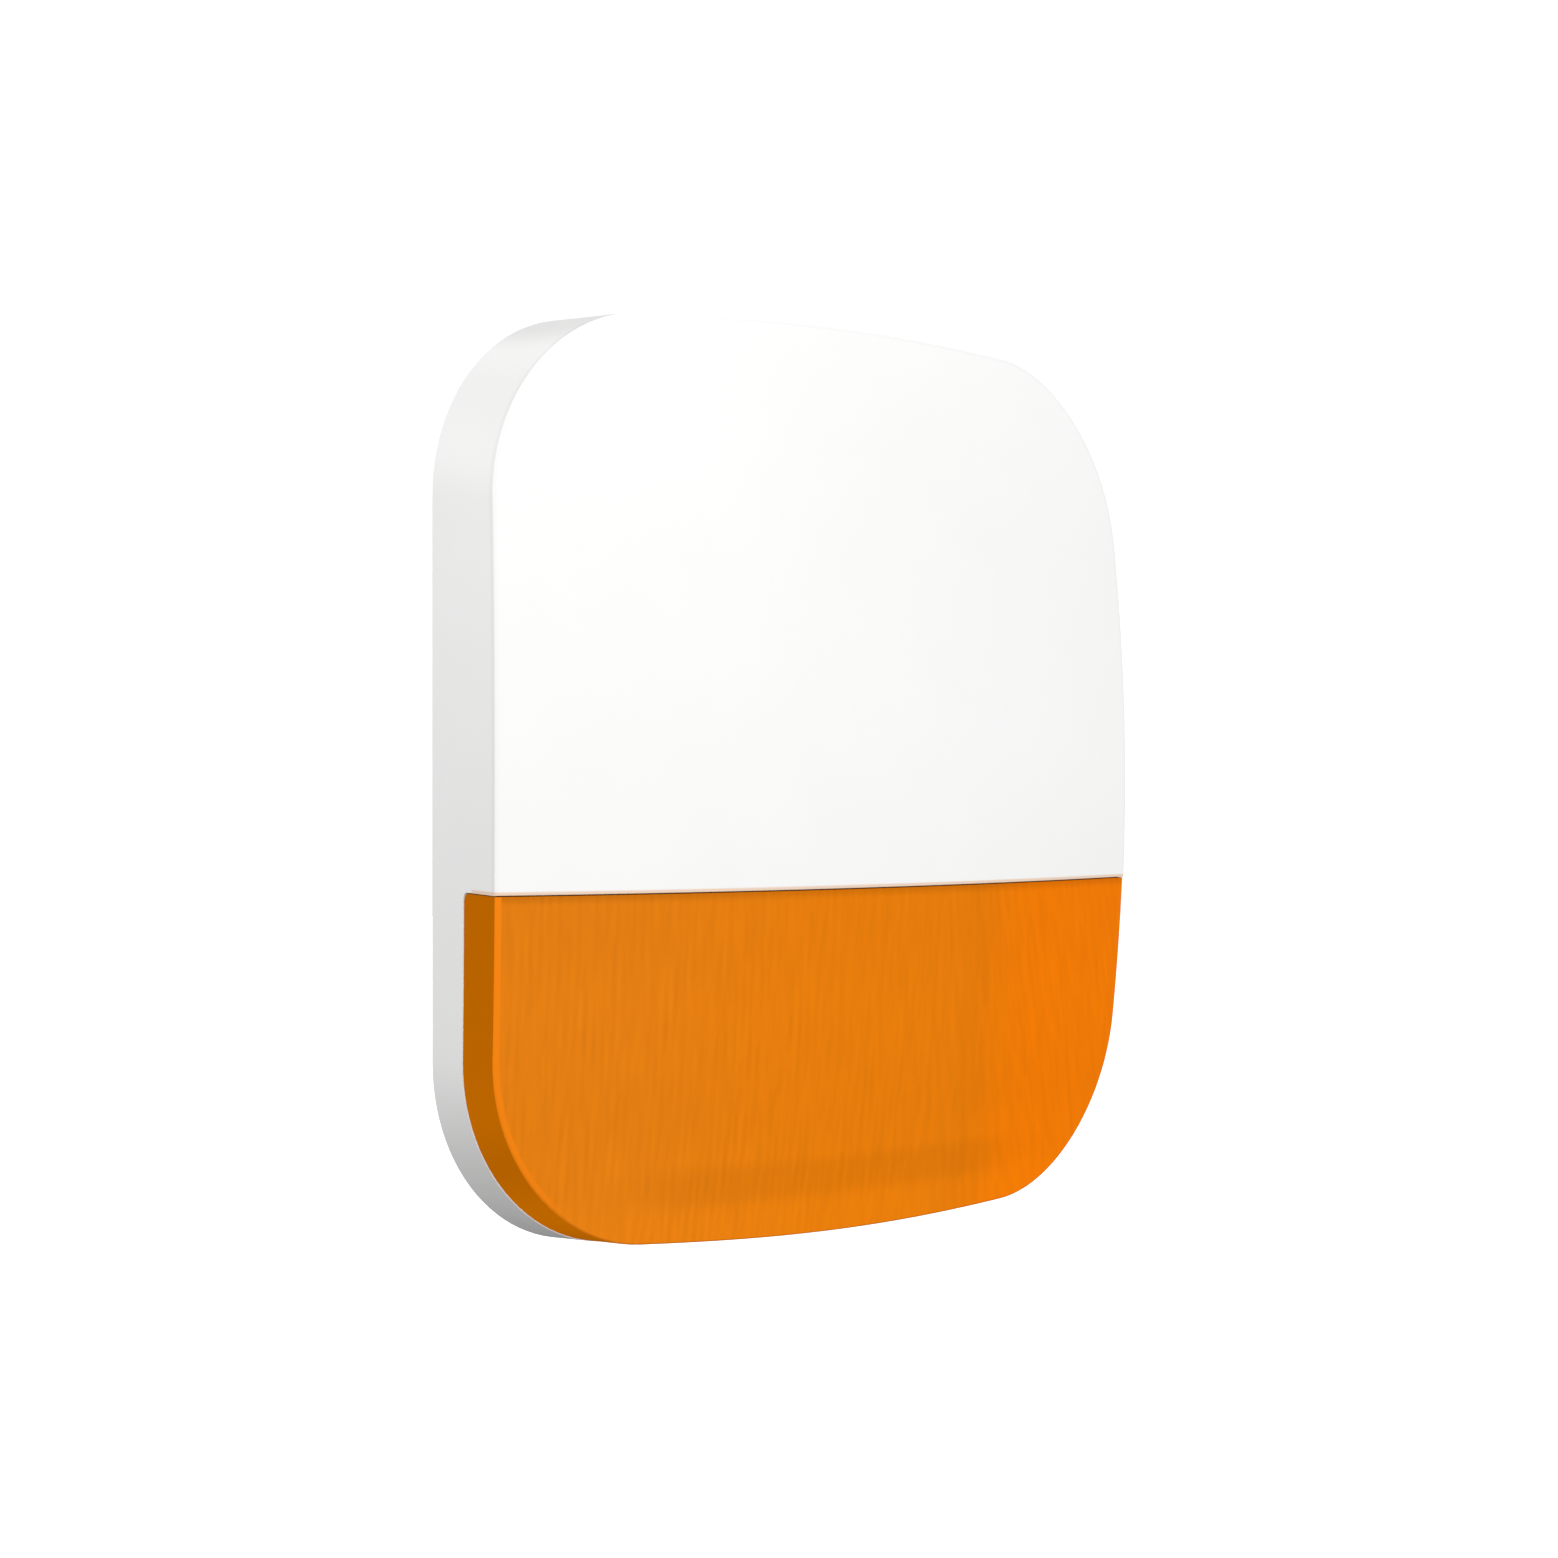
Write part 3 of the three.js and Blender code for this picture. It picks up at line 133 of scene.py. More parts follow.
def welded_mesh(node):
    """A CAD node's mesh as a bmesh, with its corners joined."""
    bm = bmesh.new()
    bm.from_mesh(NODES[node].data)
    bmesh.ops.remove_doubles(bm, verts=bm.verts, dist=WELD)
    return bm


def copy_of_node(node, name):
    """A welded copy of a CAD node, as a new object."""
    return object_from(welded_mesh(node), name)


def apply_modifiers(obj):
    """Gives obj the mesh that its modifiers make."""
    depsgraph = bpy.context.evaluated_depsgraph_get()
    mesh = bpy.data.meshes.new_from_object(obj.evaluated_get(depsgraph))
    obj.modifiers.clear()
    old = obj.data
    obj.data = mesh
    bpy.data.meshes.remove(old)


def combine(obj, other, operation):
    """Joins, cuts or intersects obj with other, which is used up."""
    modifier = obj.modifiers.new(operation.lower(), "BOOLEAN")
    modifier.operation = operation
    modifier.solver = "MANIFOLD"
    modifier.object = other
    apply_modifiers(obj)
    bpy.data.objects.remove(other)
    return obj


def attach(obj, other):
    """Adds other's mesh to obj's, and uses it up."""
    bm = bmesh.new()
    bm.from_mesh(obj.data)
    bm.from_mesh(other.data)
    bm.to_mesh(obj.data)
    bm.free()
    bpy.data.objects.remove(other)
    return obj


def smooth_by_angle(obj, degrees):
    """Smooth shading, with the edges that turn by more than this left sharp."""
    mesh = obj.data
    mesh.polygons.foreach_set("use_smooth", [True] * len(mesh.polygons))
    mesh.set_sharp_from_angle(angle=math.radians(degrees))


def grid_solid(rings, name):
    """A closed solid through rings of points of equal length, with its two ends filled."""
    bm = bmesh.new()
    rows = [[bm.verts.new(point) for point in ring] for ring in rings]
    count = len(rows[0])
    for row, after in zip(rows, rows[1:]):
        for i in range(count):
            j = (i + 1) % count
            bm.faces.new((row[i], row[j], after[j], after[i]))
    bm.faces.new(rows[0])
    bm.faces.new(rows[-1])
    return object_from(bm, name)


def box_solid(low, high, name):
    """A box between two corners, as a solid."""
    (x0, y0, z0), (x1, y1, z1) = low, high
    rings = [[(x0, y, z0), (x1, y, z0), (x1, y, z1), (x0, y, z1)] for y in (y0, y1)]
    return grid_solid(rings, name)


def turned_solid(profile, sides, name):
    """A solid turned about Z from (radius, height) points, which start and end near the axis."""
    rings = []
    for radius, height in profile:
        angles = [2 * math.pi * i / sides for i in range(sides)]
        rings.append([(radius * math.cos(a), radius * math.sin(a), height) for a in angles])
    return grid_solid(rings, name)


# ---------- the outer form ----------
def outline(inset, per_side=36, per_corner=26):
    """Points round the body at the wall, counter-clockwise seen from the front."""
    w, h = HALF_WIDTH - inset, HALF_HEIGHT - inset
    rx, rz = CORNER_X - inset, CORNER_Z - inset
    arcs = []
    for sx, sz, start in ((1, -1, -90), (1, 1, 0), (-1, 1, 90), (-1, -1, 180)):
        for i in range(per_corner + 1):
            angle = math.radians(start + 90 * i / per_corner)
            arcs.append((sx * (w - rx) + rx * math.cos(angle), sz * (h - rz) + rz * math.sin(angle)))
    points = []
    for i, (x, z) in enumerate(arcs):
        points.append((x, z))
        if i % (per_corner + 1) == per_corner:
            next_x, next_z = arcs[(i + 1) % len(arcs)]
            for k in range(1, per_side):
                t = k / per_side
                points.append((x + (next_x - x) * t, z + (next_z - z) * t))
    return points


def side_point(x0, z0, depth):
    """Where the side through the outline point (x0, z0) is, at a depth in front of the wall."""
    t = depth / SIDE_DEPTH
    x = x0 * (1 - t * (DRAFT_X + BOW_X * (z0 / HALF_HEIGHT) ** 2))
    z = z0 * (1 - t * (DRAFT_Z + BOW_Z * (x0 / HALF_WIDTH) ** 2))
    return x, z


def dome_depth(x, z, inset=0.0):
    """How far the domed face is in front of the wall."""
    return DEPTH - inset - DOME_DROP_X * (x / HALF_WIDTH) ** 2 - DOME_DROP_Z * (z / HALF_HEIGHT) ** 2


def at(x, z, depth):
    """The point at x and z that is a depth in front of the wall."""
    return Vector((x, -depth, z))


def front_corners(inset):
    """The outline points, the depths at which their side lines meet the domed face, and the points there."""
    loop = outline(inset)
    depths = []
    for x0, z0 in loop:
        depth = DEPTH
        for _ in range(CORNER_ROUNDS):
            depth = dome_depth(*side_point(x0, z0, depth), inset)
        depths.append(depth)
    corners = [at(*side_point(x0, z0, depth), depth) for (x0, z0), depth in zip(loop, depths)]
    return loop, depths, corners


def form_solid(inset, back, edge, name, side_rings=14, edge_rings=6, dome_rings=24):
    """The body moved inwards by inset, from the depth back to the domed face, with a rounded front edge."""
    loop, depths, corners = front_corners(inset)
    count = len(loop)
    starts, inwards = [], []
    for i, ((x0, z0), depth) in enumerate(zip(loop, depths)):
        starts.append(at(*side_point(x0, z0, depth - edge), depth - edge))
        along = corners[(i + 1) % count] - corners[i - 1]
        inwards.append(Vector((-along.z, 0, along.x)).normalized())

    def dome_ring(distance):
        points = [corner + inward * distance for corner, inward in zip(corners, inwards)]
        return [at(p.x, p.z, dome_depth(p.x, p.z, inset)) for p in points]

    ends = dome_ring(edge)
    rings = []
    shares = [EVEN_SHARE * k / side_rings for k in range(side_rings)] + CLOSER_SHARES
    for share in shares:
        ring = []
        for (x0, z0), depth in zip(loop, depths):
            d = back + (depth - edge - back) * share
            ring.append(at(*side_point(x0, z0, d), d))
        rings.append(ring)
    for k in range(1, edge_rings + 1):
        t = k / edge_rings
        first, middle, last = (1 - t) ** 2, math.sqrt(2) * t * (1 - t), t ** 2  # weights of a rounded corner
        total = first + middle + last
        rings.append([
            (a * first + b * middle + c * last) / total for a, b, c in zip(starts, corners, ends)
        ])
    rings.extend(dome_ring(distance) for distance in DOME_RINGS)
    close = dome_ring(LAST_CLOSE_RING)
    for k in range(dome_rings):
        share = 1 - k / dome_rings
        places = [(p.x * share, p.z * share) for p in close]
        rings.append([at(x, z, dome_depth(x, z, inset)) for x, z in places])
    return grid_solid(rings, name)


def lens_zone(gap, edge_side, name, slices=44, depth_steps=30, corner_steps=8, edge_steps=6):
    """The space that belongs to the lens: below the division line and in front of the side line.

    edge_side is 1 where the space is cut from the cover and -1 where the lens fills it, so that either
    piece gets a rounded edge along the division line.
    """
    top = DIVISION_Z - gap
    reach_x, reach_depth, bottom = HALF_WIDTH * OUTSIDE, DEPTH * OUTSIDE_DEPTH, -HALF_HEIGHT * OUTSIDE

    def line_depth(x, z):
        return LENS_SHARE * dome_depth(x, z) + gap

    rings = []
    for i in range(slices + 1):
        x = -reach_x + 2 * reach_x * i / slices
        edge_top = top + edge_side * DIVISION_EDGE
        middle = dome_depth(x, edge_top) - DIVISION_EDGE
        ring = [at(x, edge_top - edge_side * DIVISION_EDGE * math.sin(EDGE_START), reach_depth)]
        for k in range(edge_steps + 1):
            angle = EDGE_START + (math.pi / 2 - EDGE_START) * k / edge_steps
            z = edge_top - edge_side * DIVISION_EDGE * math.sin(angle)
            ring.append(at(x, z, middle + DIVISION_EDGE * math.cos(angle)))
        for k in range(corner_steps + 1):
            angle = math.pi / 2 * k / corner_steps
            z = top - LENS_CORNER * (1 - math.cos(angle))
            ring.append(at(x, z, line_depth(x, z) + LENS_CORNER * (1 - math.sin(angle))))
        for k in range(1, depth_steps + 1):
            z = top - LENS_CORNER + (bottom - top + LENS_CORNER) * k / depth_steps
            ring.append(at(x, z, line_depth(x, z)))
        ring.append(at(x, bottom, reach_depth))
        rings.append(ring)
    return grid_solid(rings, name)


def outer_layer(inset, edge, name):
    """A thin finely divided layer on the outside of the form."""
    layer = form_solid(inset, 0, edge, name)
    inner = form_solid(inset + SKIN, -PAST_WALL, edge / 2, "inner")
    return combine(layer, inner, "DIFFERENCE")


def inner_structure(node, inset, name):
    """What a CAD node has inside its outer layer, as a new object."""
    inner = copy_of_node(node, name)
    return combine(inner, form_solid(inset, HIDDEN, SKIN / 4, "form"), "INTERSECT")


def even_shading(obj, inset):
    """Weighs normals by face area, and gives the faces that lie on the dome its exact normals."""
    modifier = obj.modifiers.new("area_normals", "WEIGHTED_NORMAL")
    modifier.mode = "FACE_AREA"
    modifier.keep_sharp = True
    apply_modifiers(obj)
    mesh = obj.data
    normals = [Vector(corner.vector) for corner in mesh.corner_normals]
    for polygon in mesh.polygons:
        points = [mesh.vertices[i].co for i in polygon.vertices]
        if all(abs(-p.y - dome_depth(p.x, p.z, inset)) < ON_DOME for p in points):
            for loop, p in zip(polygon.loop_indices, points):
                across = 2 * DOME_DROP_X * p.x / HALF_WIDTH ** 2
                upwards = 2 * DOME_DROP_Z * p.z / HALF_HEIGHT ** 2
                normals[loop] = Vector((across, -1, upwards)).normalized()
    mesh.normals_split_custom_set(normals)


def note_edge_distance(obj, inset):
    """Stores on each vertex how far it is from the front edge."""
    _, _, corners = front_corners(inset)
    tree = KDTree(len(corners) * EDGE_SAMPLES)
    for i, corner in enumerate(corners):
        following = corners[(i + 1) % len(corners)]
        for k in range(EDGE_SAMPLES):
            tree.insert(corner.lerp(following, k / EDGE_SAMPLES), i * EDGE_SAMPLES + k)
    tree.balance()
    attribute = obj.data.attributes.new(EDGE_ATTRIBUTE, "FLOAT", "POINT")
    for vertex, item in zip(obj.data.vertices, attribute.data):
        item.value = tree.find(vertex.co)[2]


# ---------- the pieces with a domed face ----------
SLOTS_PER_SIDE = 5  # sound slots left and right of the locking screw
SLOT_FIRST = 18 * MM
SLOT_PITCH = 9 * MM
SLOT_HALF_WIDTH = 3 * MM
SLOT_Y = (-7 * MM, -3 * MM)
SLOT_Z = (-2 * HALF_HEIGHT, -0.9 * HALF_HEIGHT)
RECESS_GAP = 0.4 * MM  # round the locking screw's head
RECESS_TOP = 6 * MM  # above the head's lowest point
RECESS_SIDES = 48


def sound_slots():
    """The openings in the bottom rim that let the sound out."""
    slots = []
    for i in range(SLOTS_PER_SIDE):
        for side in (-1, 1):
            x = side * (SLOT_FIRST + SLOT_PITCH * i)
            low = (x - SLOT_HALF_WIDTH, SLOT_Y[0], SLOT_Z[0])
            high = (x + SLOT_HALF_WIDTH, SLOT_Y[1], SLOT_Z[1])
            slots.append(box_solid(low, high, "slot"))
    return slots


def screw_recess():
    """The round recess for the locking screw's head."""
    low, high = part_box("locking_screw")
    radius = (high.x - low.x) / 2 + RECESS_GAP
    profile = [(radius, -HALF_HEIGHT * OUTSIDE), (radius, low.z + RECESS_TOP)]
    recess = turned_solid(profile, RECESS_SIDES, "recess")
    recess.data.transform(Matrix.Translation(((low.x + high.x) / 2, (low.y + high.y) / 2, 0)))
    return recess


def build_front_cover():
    """The white cover: the CAD's cover behind a finely divided outer layer with a rounded front edge."""
    layer = outer_layer(0, COVER_EDGE, "front_cover_shell")
    layer = combine(layer, lens_zone(HIDDEN, 1, "zone"), "DIFFERENCE")
    for slot in sound_slots():
        layer = combine(layer, slot, "DIFFERENCE")
    layer = combine(layer, screw_recess(), "DIFFERENCE")
    inside = inner_structure("front_cover", SKIN / 2, "cover_inside")
    inside = combine(inside, lens_zone(0, 1, "zone"), "DIFFERENCE")
    cover = attach(layer, inside)
    note_edge_distance(cover, 0)
    return cover


def build_lens():
    """The orange lens: the CAD's lens behind a finely divided outer layer."""
    layer = outer_layer(LENS_SKIN, LENS_EDGE, "strobe_lens_shell")
    layer = combine(layer, lens_zone(GAP - HIDDEN, -1, "zone"), "INTERSECT")
    inside = inner_structure("strobe_lens", LENS_SKIN + SKIN / 2, "lens_inside")
    inside = combine(inside, lens_zone(GAP, -1, "zone"), "INTERSECT")
    lens = attach(layer, inside)
    note_edge_distance(lens, LENS_SKIN)
    return lens


# ---------- colours, as linear red, green and blue ----------
COVER_WHITE = (0.925, 0.925, 0.92)
PAINTED_LENS_GLOW = (0.78, 0.42, 0.17)  # painted glow of the lens's orange light on the cover, where it meets the lens
PAINTED_GLOW_STRENGTH = 0.55
LENS_LEFT = (0.785, 0.213, 0.006)
LENS_MIDDLE = (0.83, 0.211, 0.0025)
LENS_RIGHT = (0.93, 0.206, 0.0)
# painted glow along the lens's rim at the left
LENS_RIM_PAINTED_GLOW = (0.91, 0.232, 0.006)
# side walls painted a darker orange as shade
LENS_WALL_PAINTED_SHADE = (0.555, 0.146, 0.0)
HOUSING_WHITE = (0.82, 0.825, 0.82)
REFLECTOR_WHITE = (0.88, 0.88, 0.87)
BRACKET_GREY = (0.68, 0.69, 0.69)
PLASTIC_BLACK = (0.03, 0.031, 0.034)
TERMINAL_GREEN = (0.03, 0.22, 0.09)
RUBBER_DARK, RUBBER_BLOOM = (0.028, 0.028, 0.03), (0.055, 0.055, 0.058)
LAMINATE, COPPER_UNDER_MASK, TINNED = (0.012, 0.10, 0.04), (0.03, 0.20, 0.085), (0.62, 0.6, 0.55)
SLEEVE_BLUE, SLEEVE_SILVER, CELL_STEEL = (0.03, 0.12, 0.33), (0.6, 0.62, 0.64), (0.55, 0.56, 0.58)
CERAMIC_DARK, CERAMIC_PALE, ELECTRODE = (0.62, 0.56, 0.42), (0.72, 0.66, 0.52), (0.74, 0.73, 0.7)
LED_FRAME_DARK, LED_FRAME_PALE = (0.78, 0.78, 0.75), (0.84, 0.84, 0.81)
PHOSPHOR_DARK, PHOSPHOR_PALE = (0.86, 0.68, 0.12), (0.92, 0.76, 0.2)
# the copper turns are painted with shade and highlight
WIRE_PAINTED_SHADE, WIRE_PAINTED_HIGHLIGHT, TAPE = (0.24, 0.07, 0.02), (0.62, 0.23, 0.08), (0.75, 0.52, 0.05)
FERRITE_DARK, FERRITE_PALE = (0.025, 0.025, 0.028), (0.06, 0.06, 0.065)
SCREW_STEEL, DRAWN_STEEL, BRASS = (0.6, 0.61, 0.62), (0.55, 0.56, 0.57), (0.74, 0.5, 0.19)
CABLE_RED, CABLE_BLACK = (0.5, 0.03, 0.02), (0.02, 0.02, 0.022)
# stuffs of two-layered pieces, each as (colour, metallic, roughness)
CAN_ALUMINIUM = ((0.7, 0.71, 0.72), 1.0, 0.25)
CAN_SLEEVE = ((0.02, 0.022, 0.03), 0.0, 0.3)
SHIELD_STEEL = ((0.6, 0.61, 0.62), 1.0, 0.28)
MODULE_CARD = ((0.02, 0.14, 0.06), 0.0, 0.35)

NOISE_LOW, NOISE_HIGH = 0.3, 0.7  # the range that most of a noise texture's values lie in
SOFT = 0.1 * MM  # a limit between two colours of one piece reaches this far on either side of its place
SHARP_LIMIT = 0.05 * MM  # and this far where it is sharper
CUT_LIMIT = 0.03 * MM  # and this far where two parts meet


# ---------- materials ----------
class Paint:
    """One material, with short calls for building its nodes."""

    def __init__(self, name):
        self.material = bpy.data.materials.new(name)
        self.material.use_nodes = True
        self.nodes = self.material.node_tree.nodes
        self.links = self.material.node_tree.links
        self.shader = self.nodes["Principled BSDF"]
        self.position = self.nodes.new("ShaderNodeTexCoord").outputs["Object"]

    def set(self, **values):
        """Sets the shader's own sockets, named with underscores."""
        for key, value in values.items():
            self.shader.inputs[key.replace("_", " ")].default_value = value

    def feed(self, socket, source):
        """Puts a number or another node's output into a socket."""
        if isinstance(source, (int, float)):
            socket.default_value = source
        else:
            self.links.new(source, socket)

    def math(self, operation, *sources, clamp=False):
        """One Math node's result."""
        node = self.nodes.new("ShaderNodeMath")
        node.operation = operation
        node.use_clamp = clamp
        for socket, source in zip(node.inputs, sources):
            self.feed(socket, source)
        return node.outputs[0]

    def product(self, first, *others):
        """All the numbers multiplied together."""
        for other in others:
            first = self.math("MULTIPLY", first, other)
        return first

    def distance(self, source, place):
        """How far a number is from a place, on either side of it."""
        return self.math("ABSOLUTE", self.math("SUBTRACT", source, place))

    def part(self, vector, name):
        """A vector's X, Y or Z."""
        node = self.nodes.new("ShaderNodeSeparateXYZ")
        self.links.new(vector, node.inputs[0])
        return node.outputs[name]

    def axis(self, name):
        """The object's own X, Y or Z, in metres."""
        return self.part(self.position, name)

    def normal_axis(self, name):
        """How much the surface faces along the object's own X, Y or Z."""
        return self.part(self.nodes.new("ShaderNodeTexCoord").outputs["Normal"], name)

    def attribute(self, name):
        """A number that the mesh holds at each vertex."""
        node = self.nodes.new("ShaderNodeAttribute")
        node.attribute_name = name
        return node.outputs["Fac"]

    def vector(self, x, y, z):
        """A place made of three numbers."""
        node = self.nodes.new("ShaderNodeCombineXYZ")
        for socket, source in zip(node.inputs, (x, y, z)):
            self.feed(socket, source)
        return node.outputs[0]

    def noise(self, size_mm, detail=3.0, stretch=(1, 1, 1), vector=None):
        """Noise with features of about size_mm, longer along an axis where stretch is above 1."""
        mapping = self.nodes.new("ShaderNodeMapping")
        mapping.inputs["Scale"].default_value = [1 / s for s in stretch]
        self.links.new(vector or self.position, mapping.inputs["Vector"])
        texture = self.nodes.new("ShaderNodeTexNoise")
        texture.inputs["Scale"].default_value = 1 / (size_mm * MM)
        texture.inputs["Detail"].default_value = detail
        self.links.new(mapping.outputs["Vector"], texture.inputs["Vector"])
        return texture.outputs["Fac"]

    def varied(self, size_mm, low, high, detail=3.0):
        """A number that wanders between low and high over about size_mm."""
        return self.spread(self.noise(size_mm, detail=detail), NOISE_LOW, NOISE_HIGH, low, high)

    def cells(self, size_mm, feature="F1"):
        """Distances in a pattern of cells that are about size_mm across."""
        texture = self.nodes.new("ShaderNodeTexVoronoi")
        texture.feature = feature
        texture.inputs["Scale"].default_value = 1 / (size_mm * MM)
        self.links.new(self.position, texture.inputs["Vector"])
        return texture.outputs["Distance"]

    def spread(self, source, low, high, to_low=0.0, to_high=1.0):
        """Maps low..high to to_low..to_high, clamped and eased."""
        node = self.nodes.new("ShaderNodeMapRange")
        node.interpolation_type = "SMOOTHSTEP"
        self.links.new(source, node.inputs["Value"])
        for name, value in (("From Min", low), ("From Max", high), ("To Min", to_low), ("To Max", to_high)):
            node.inputs[name].default_value = value
        return node.outputs["Result"]

    def past(self, source, place, soft=SOFT):
        """1 where a number is above a place and 0 where it is below it."""
        return self.spread(source, place - soft, place + soft)

    def within(self, source, place, soft=SOFT):
        """1 where a number is below a place and 0 where it is above it."""
        return self.spread(source, place - soft, place + soft, 1.0, 0.0)

    def between(self, factor, first, second):
        """The number that is a share, factor, of the way from first to second."""
        node = self.nodes.new("ShaderNodeMix")
        for name, source in (("Factor", factor), ("A", first), ("B", second)):
            self.feed(node.inputs[name], source)
        return node.outputs["Result"]

    def blend(self, factor, first, second):
        """Mixes two colours, given as tuples or outputs."""
        node = self.nodes.new("ShaderNodeMix")
        node.data_type = "RGBA"
        self.feed(node.inputs["Factor"], factor)
        for name, colour in (("A", first), ("B", second)):
            socket = next(s for s in node.inputs if s.name == name and s.type == "RGBA")
            if isinstance(colour, tuple):
                socket.default_value = (*colour, 1)
            else:
                self.links.new(colour, socket)
        return next(s for s in node.outputs if s.type == "RGBA")

    def scaled(self, colour, factor):
        """A colour made lighter or darker by a number that varies."""
        node = self.nodes.new("ShaderNodeVectorMath")
        node.operation = "SCALE"
        if isinstance(colour, tuple):
            node.inputs[0].default_value = colour
        else:
            self.links.new(colour, node.inputs[0])
        self.links.new(factor, node.inputs["Scale"])
        return node.outputs[0]

    def colour(self, source):
        """Gives the surface its colour."""
        self.links.new(source, self.shader.inputs["Base Color"])

    def roughness(self, source):
        """Gives the surface its roughness."""
        self.links.new(source, self.shader.inputs["Roughness"])

    def bump(self, height, depth_mm):
        """Raises the surface by depth_mm where height is 1. Later calls add to earlier ones."""
        node = self.nodes.new("ShaderNodeBump")
        node.inputs["Distance"].default_value = depth_mm * MM
        self.links.new(height, node.inputs["Height"])
        normal = self.shader.inputs["Normal"]
        if normal.is_linked:
            self.links.new(normal.links[0].from_socket, node.inputs["Normal"])
        self.links.new(node.outputs["Normal"], normal)


def moulded_plastic(name, colour, roughness, specular=0.3, grain_mm=0.35, grain_depth_mm=0.01, mottle=0.02):
    """A Paint of injection-moulded plastic: a spark-eroded grain, and slow changes of shade and gloss."""
    paint = Paint(name)
    paint.colour(paint.scaled(colour, paint.varied(24, 1 - mottle, 1 + mottle / 2, detail=4)))
    paint.roughness(paint.varied(4, roughness - 0.04, roughness + 0.05, detail=5))
    paint.set(Specular_IOR_Level=specular)
    paint.bump(paint.noise(grain_mm, detail=2), grain_depth_mm)
    return paint


def plastic(name, colour, roughness, **look):
    """The material of a moulded plastic that has nothing else on it."""
    return moulded_plastic(name, colour, roughness, **look).material


def cover_plastic():
    """White cover: painted shade in soft lines on both sides of its front edge, on the sides towards the
    bottom and round the top corners, and faintly at the face's top right, and a painted orange glow where it
    meets the lens."""
    paint = moulded_plastic("cover_white", COVER_WHITE, 0.42, specular=0.2, mottle=0.006)
    base = paint.shader.inputs["Base Color"].links[0].from_socket
    x, z = paint.axis("X"), paint.axis("Z")
    upwards = paint.normal_axis("Z")
    from_edge = paint.attribute(EDGE_ATTRIBUTE)

    # painted shade: a soft line beside the front edge, greyer towards the bottom and at the low corner, and
    # darker round the top corners and on top
    side_edge_painted_shade = paint.spread(from_edge, 0.6 * MM, 2.9 * MM, 0.925, 1.0)
    painted_shade_towards_bottom = paint.spread(z, -120 * MM, 80 * MM, 0.87, 1.03)
    painted_shade_low_corner = paint.spread(z, -102 * MM, -66 * MM, 0.89, 1.0)
    painted_shade_round_corner = paint.spread(upwards, 0.1, 0.55, 1.0, 0.86)
    painted_shade_on_top = paint.spread(upwards, 0.66, 0.86, 1.0, 0.82)
    side_shade = paint.product(side_edge_painted_shade, painted_shade_towards_bottom, painted_shade_low_corner, painted_shade_round_corner, painted_shade_on_top)

    # painted shade: a soft line along the front edge, and a faint darkening towards the top right of the
    # face
    front_edge_painted_shade = paint.spread(from_edge, 0.6 * MM, 1.4 * MM, 0.97, 1.0)
    upper, right = paint.spread(z, -20 * MM, 95 * MM), paint.spread(x, -70 * MM, 40 * MM, 0.2, 1.0)
    top_right = paint.product(upper, right)
    front_shade = paint.product(front_edge_painted_shade, paint.spread(top_right, 0.0, 1.0, 1.0, 0.965))
    on_side = paint.spread(paint.normal_axis("Y"), -0.6, -0.3)
    shaded = paint.scaled(base, paint.between(on_side, front_shade, side_shade))

    # painted glow: the lens's orange light painted onto the cover in a thin band just above the division
    # line
    above = paint.spread(z, DIVISION_Z + 0.6 * MM, DIVISION_Z + 1.1 * MM)
    below = paint.spread(z, DIVISION_Z - 0.6 * MM, DIVISION_Z - 0.3 * MM)
    in_front = paint.spread(paint.axis("Y"), -0.5 * DEPTH, -0.46 * DEPTH, 1.0, 0.0)
    beside_lens = paint.product(paint.math("SUBTRACT", below, above, clamp=True), in_front)
    paint.colour(paint.blend(paint.product(beside_lens, PAINTED_GLOW_STRENGTH), shaded, PAINTED_LENS_GLOW))
    return paint.material


RIB_CONTRAST = 0.03  # how much lighter and darker the ribs make the lens
RIB_PITCH = 2.3 * MM  # at the left, and
WIDE_RIB_PITCH = 5.2 * MM  # at the right
RIB_FAN = 0.22  # how far out the ribs at the right lean, as a share of their height
FRAME_X = 40 * MM  # middles of the darker bands, where the parts behind the lens show through
FRAME_Z = -106 * MM
INNER_LINE = 2.8 * MM  # from the edge to the line where the lens's wall ends inside


def lens_ribs(paint, x, z):
    """Fine upright ribs, wider apart and fanned outwards at the right, which come and go."""
    down = paint.math("SUBTRACT", DIVISION_Z, z)
    fan = paint.product(paint.spread(x, 15 * MM, 75 * MM, 0.0, RIB_FAN), down)
    rib_x = paint.math("SUBTRACT", x, fan)
    place = paint.vector(rib_x, 0.0, z)
    narrow = paint.math("SINE", paint.product(rib_x, 2 * math.pi / RIB_PITCH))
    wide = paint.math("SINE", paint.product(rib_x, 2 * math.pi / WIDE_RIB_PITCH))
    wave = paint.between(paint.spread(x, 30 * MM, 60 * MM), narrow, wide)
    patches = paint.spread(paint.noise(9, detail=2, stretch=(1, 1, 2), vector=place), 0.35, 0.65, 0.15, 1.0)
    strength = paint.product(patches, paint.spread(x, -30 * MM, 0.0, 1.0, 0.45))
    fine = paint.spread(paint.noise(1.7, detail=1.5, stretch=(1, 1, 9), vector=place), 0.25, 0.75, -1.3, 1.3)
    return paint.math("MULTIPLY_ADD", wave, strength, fine)


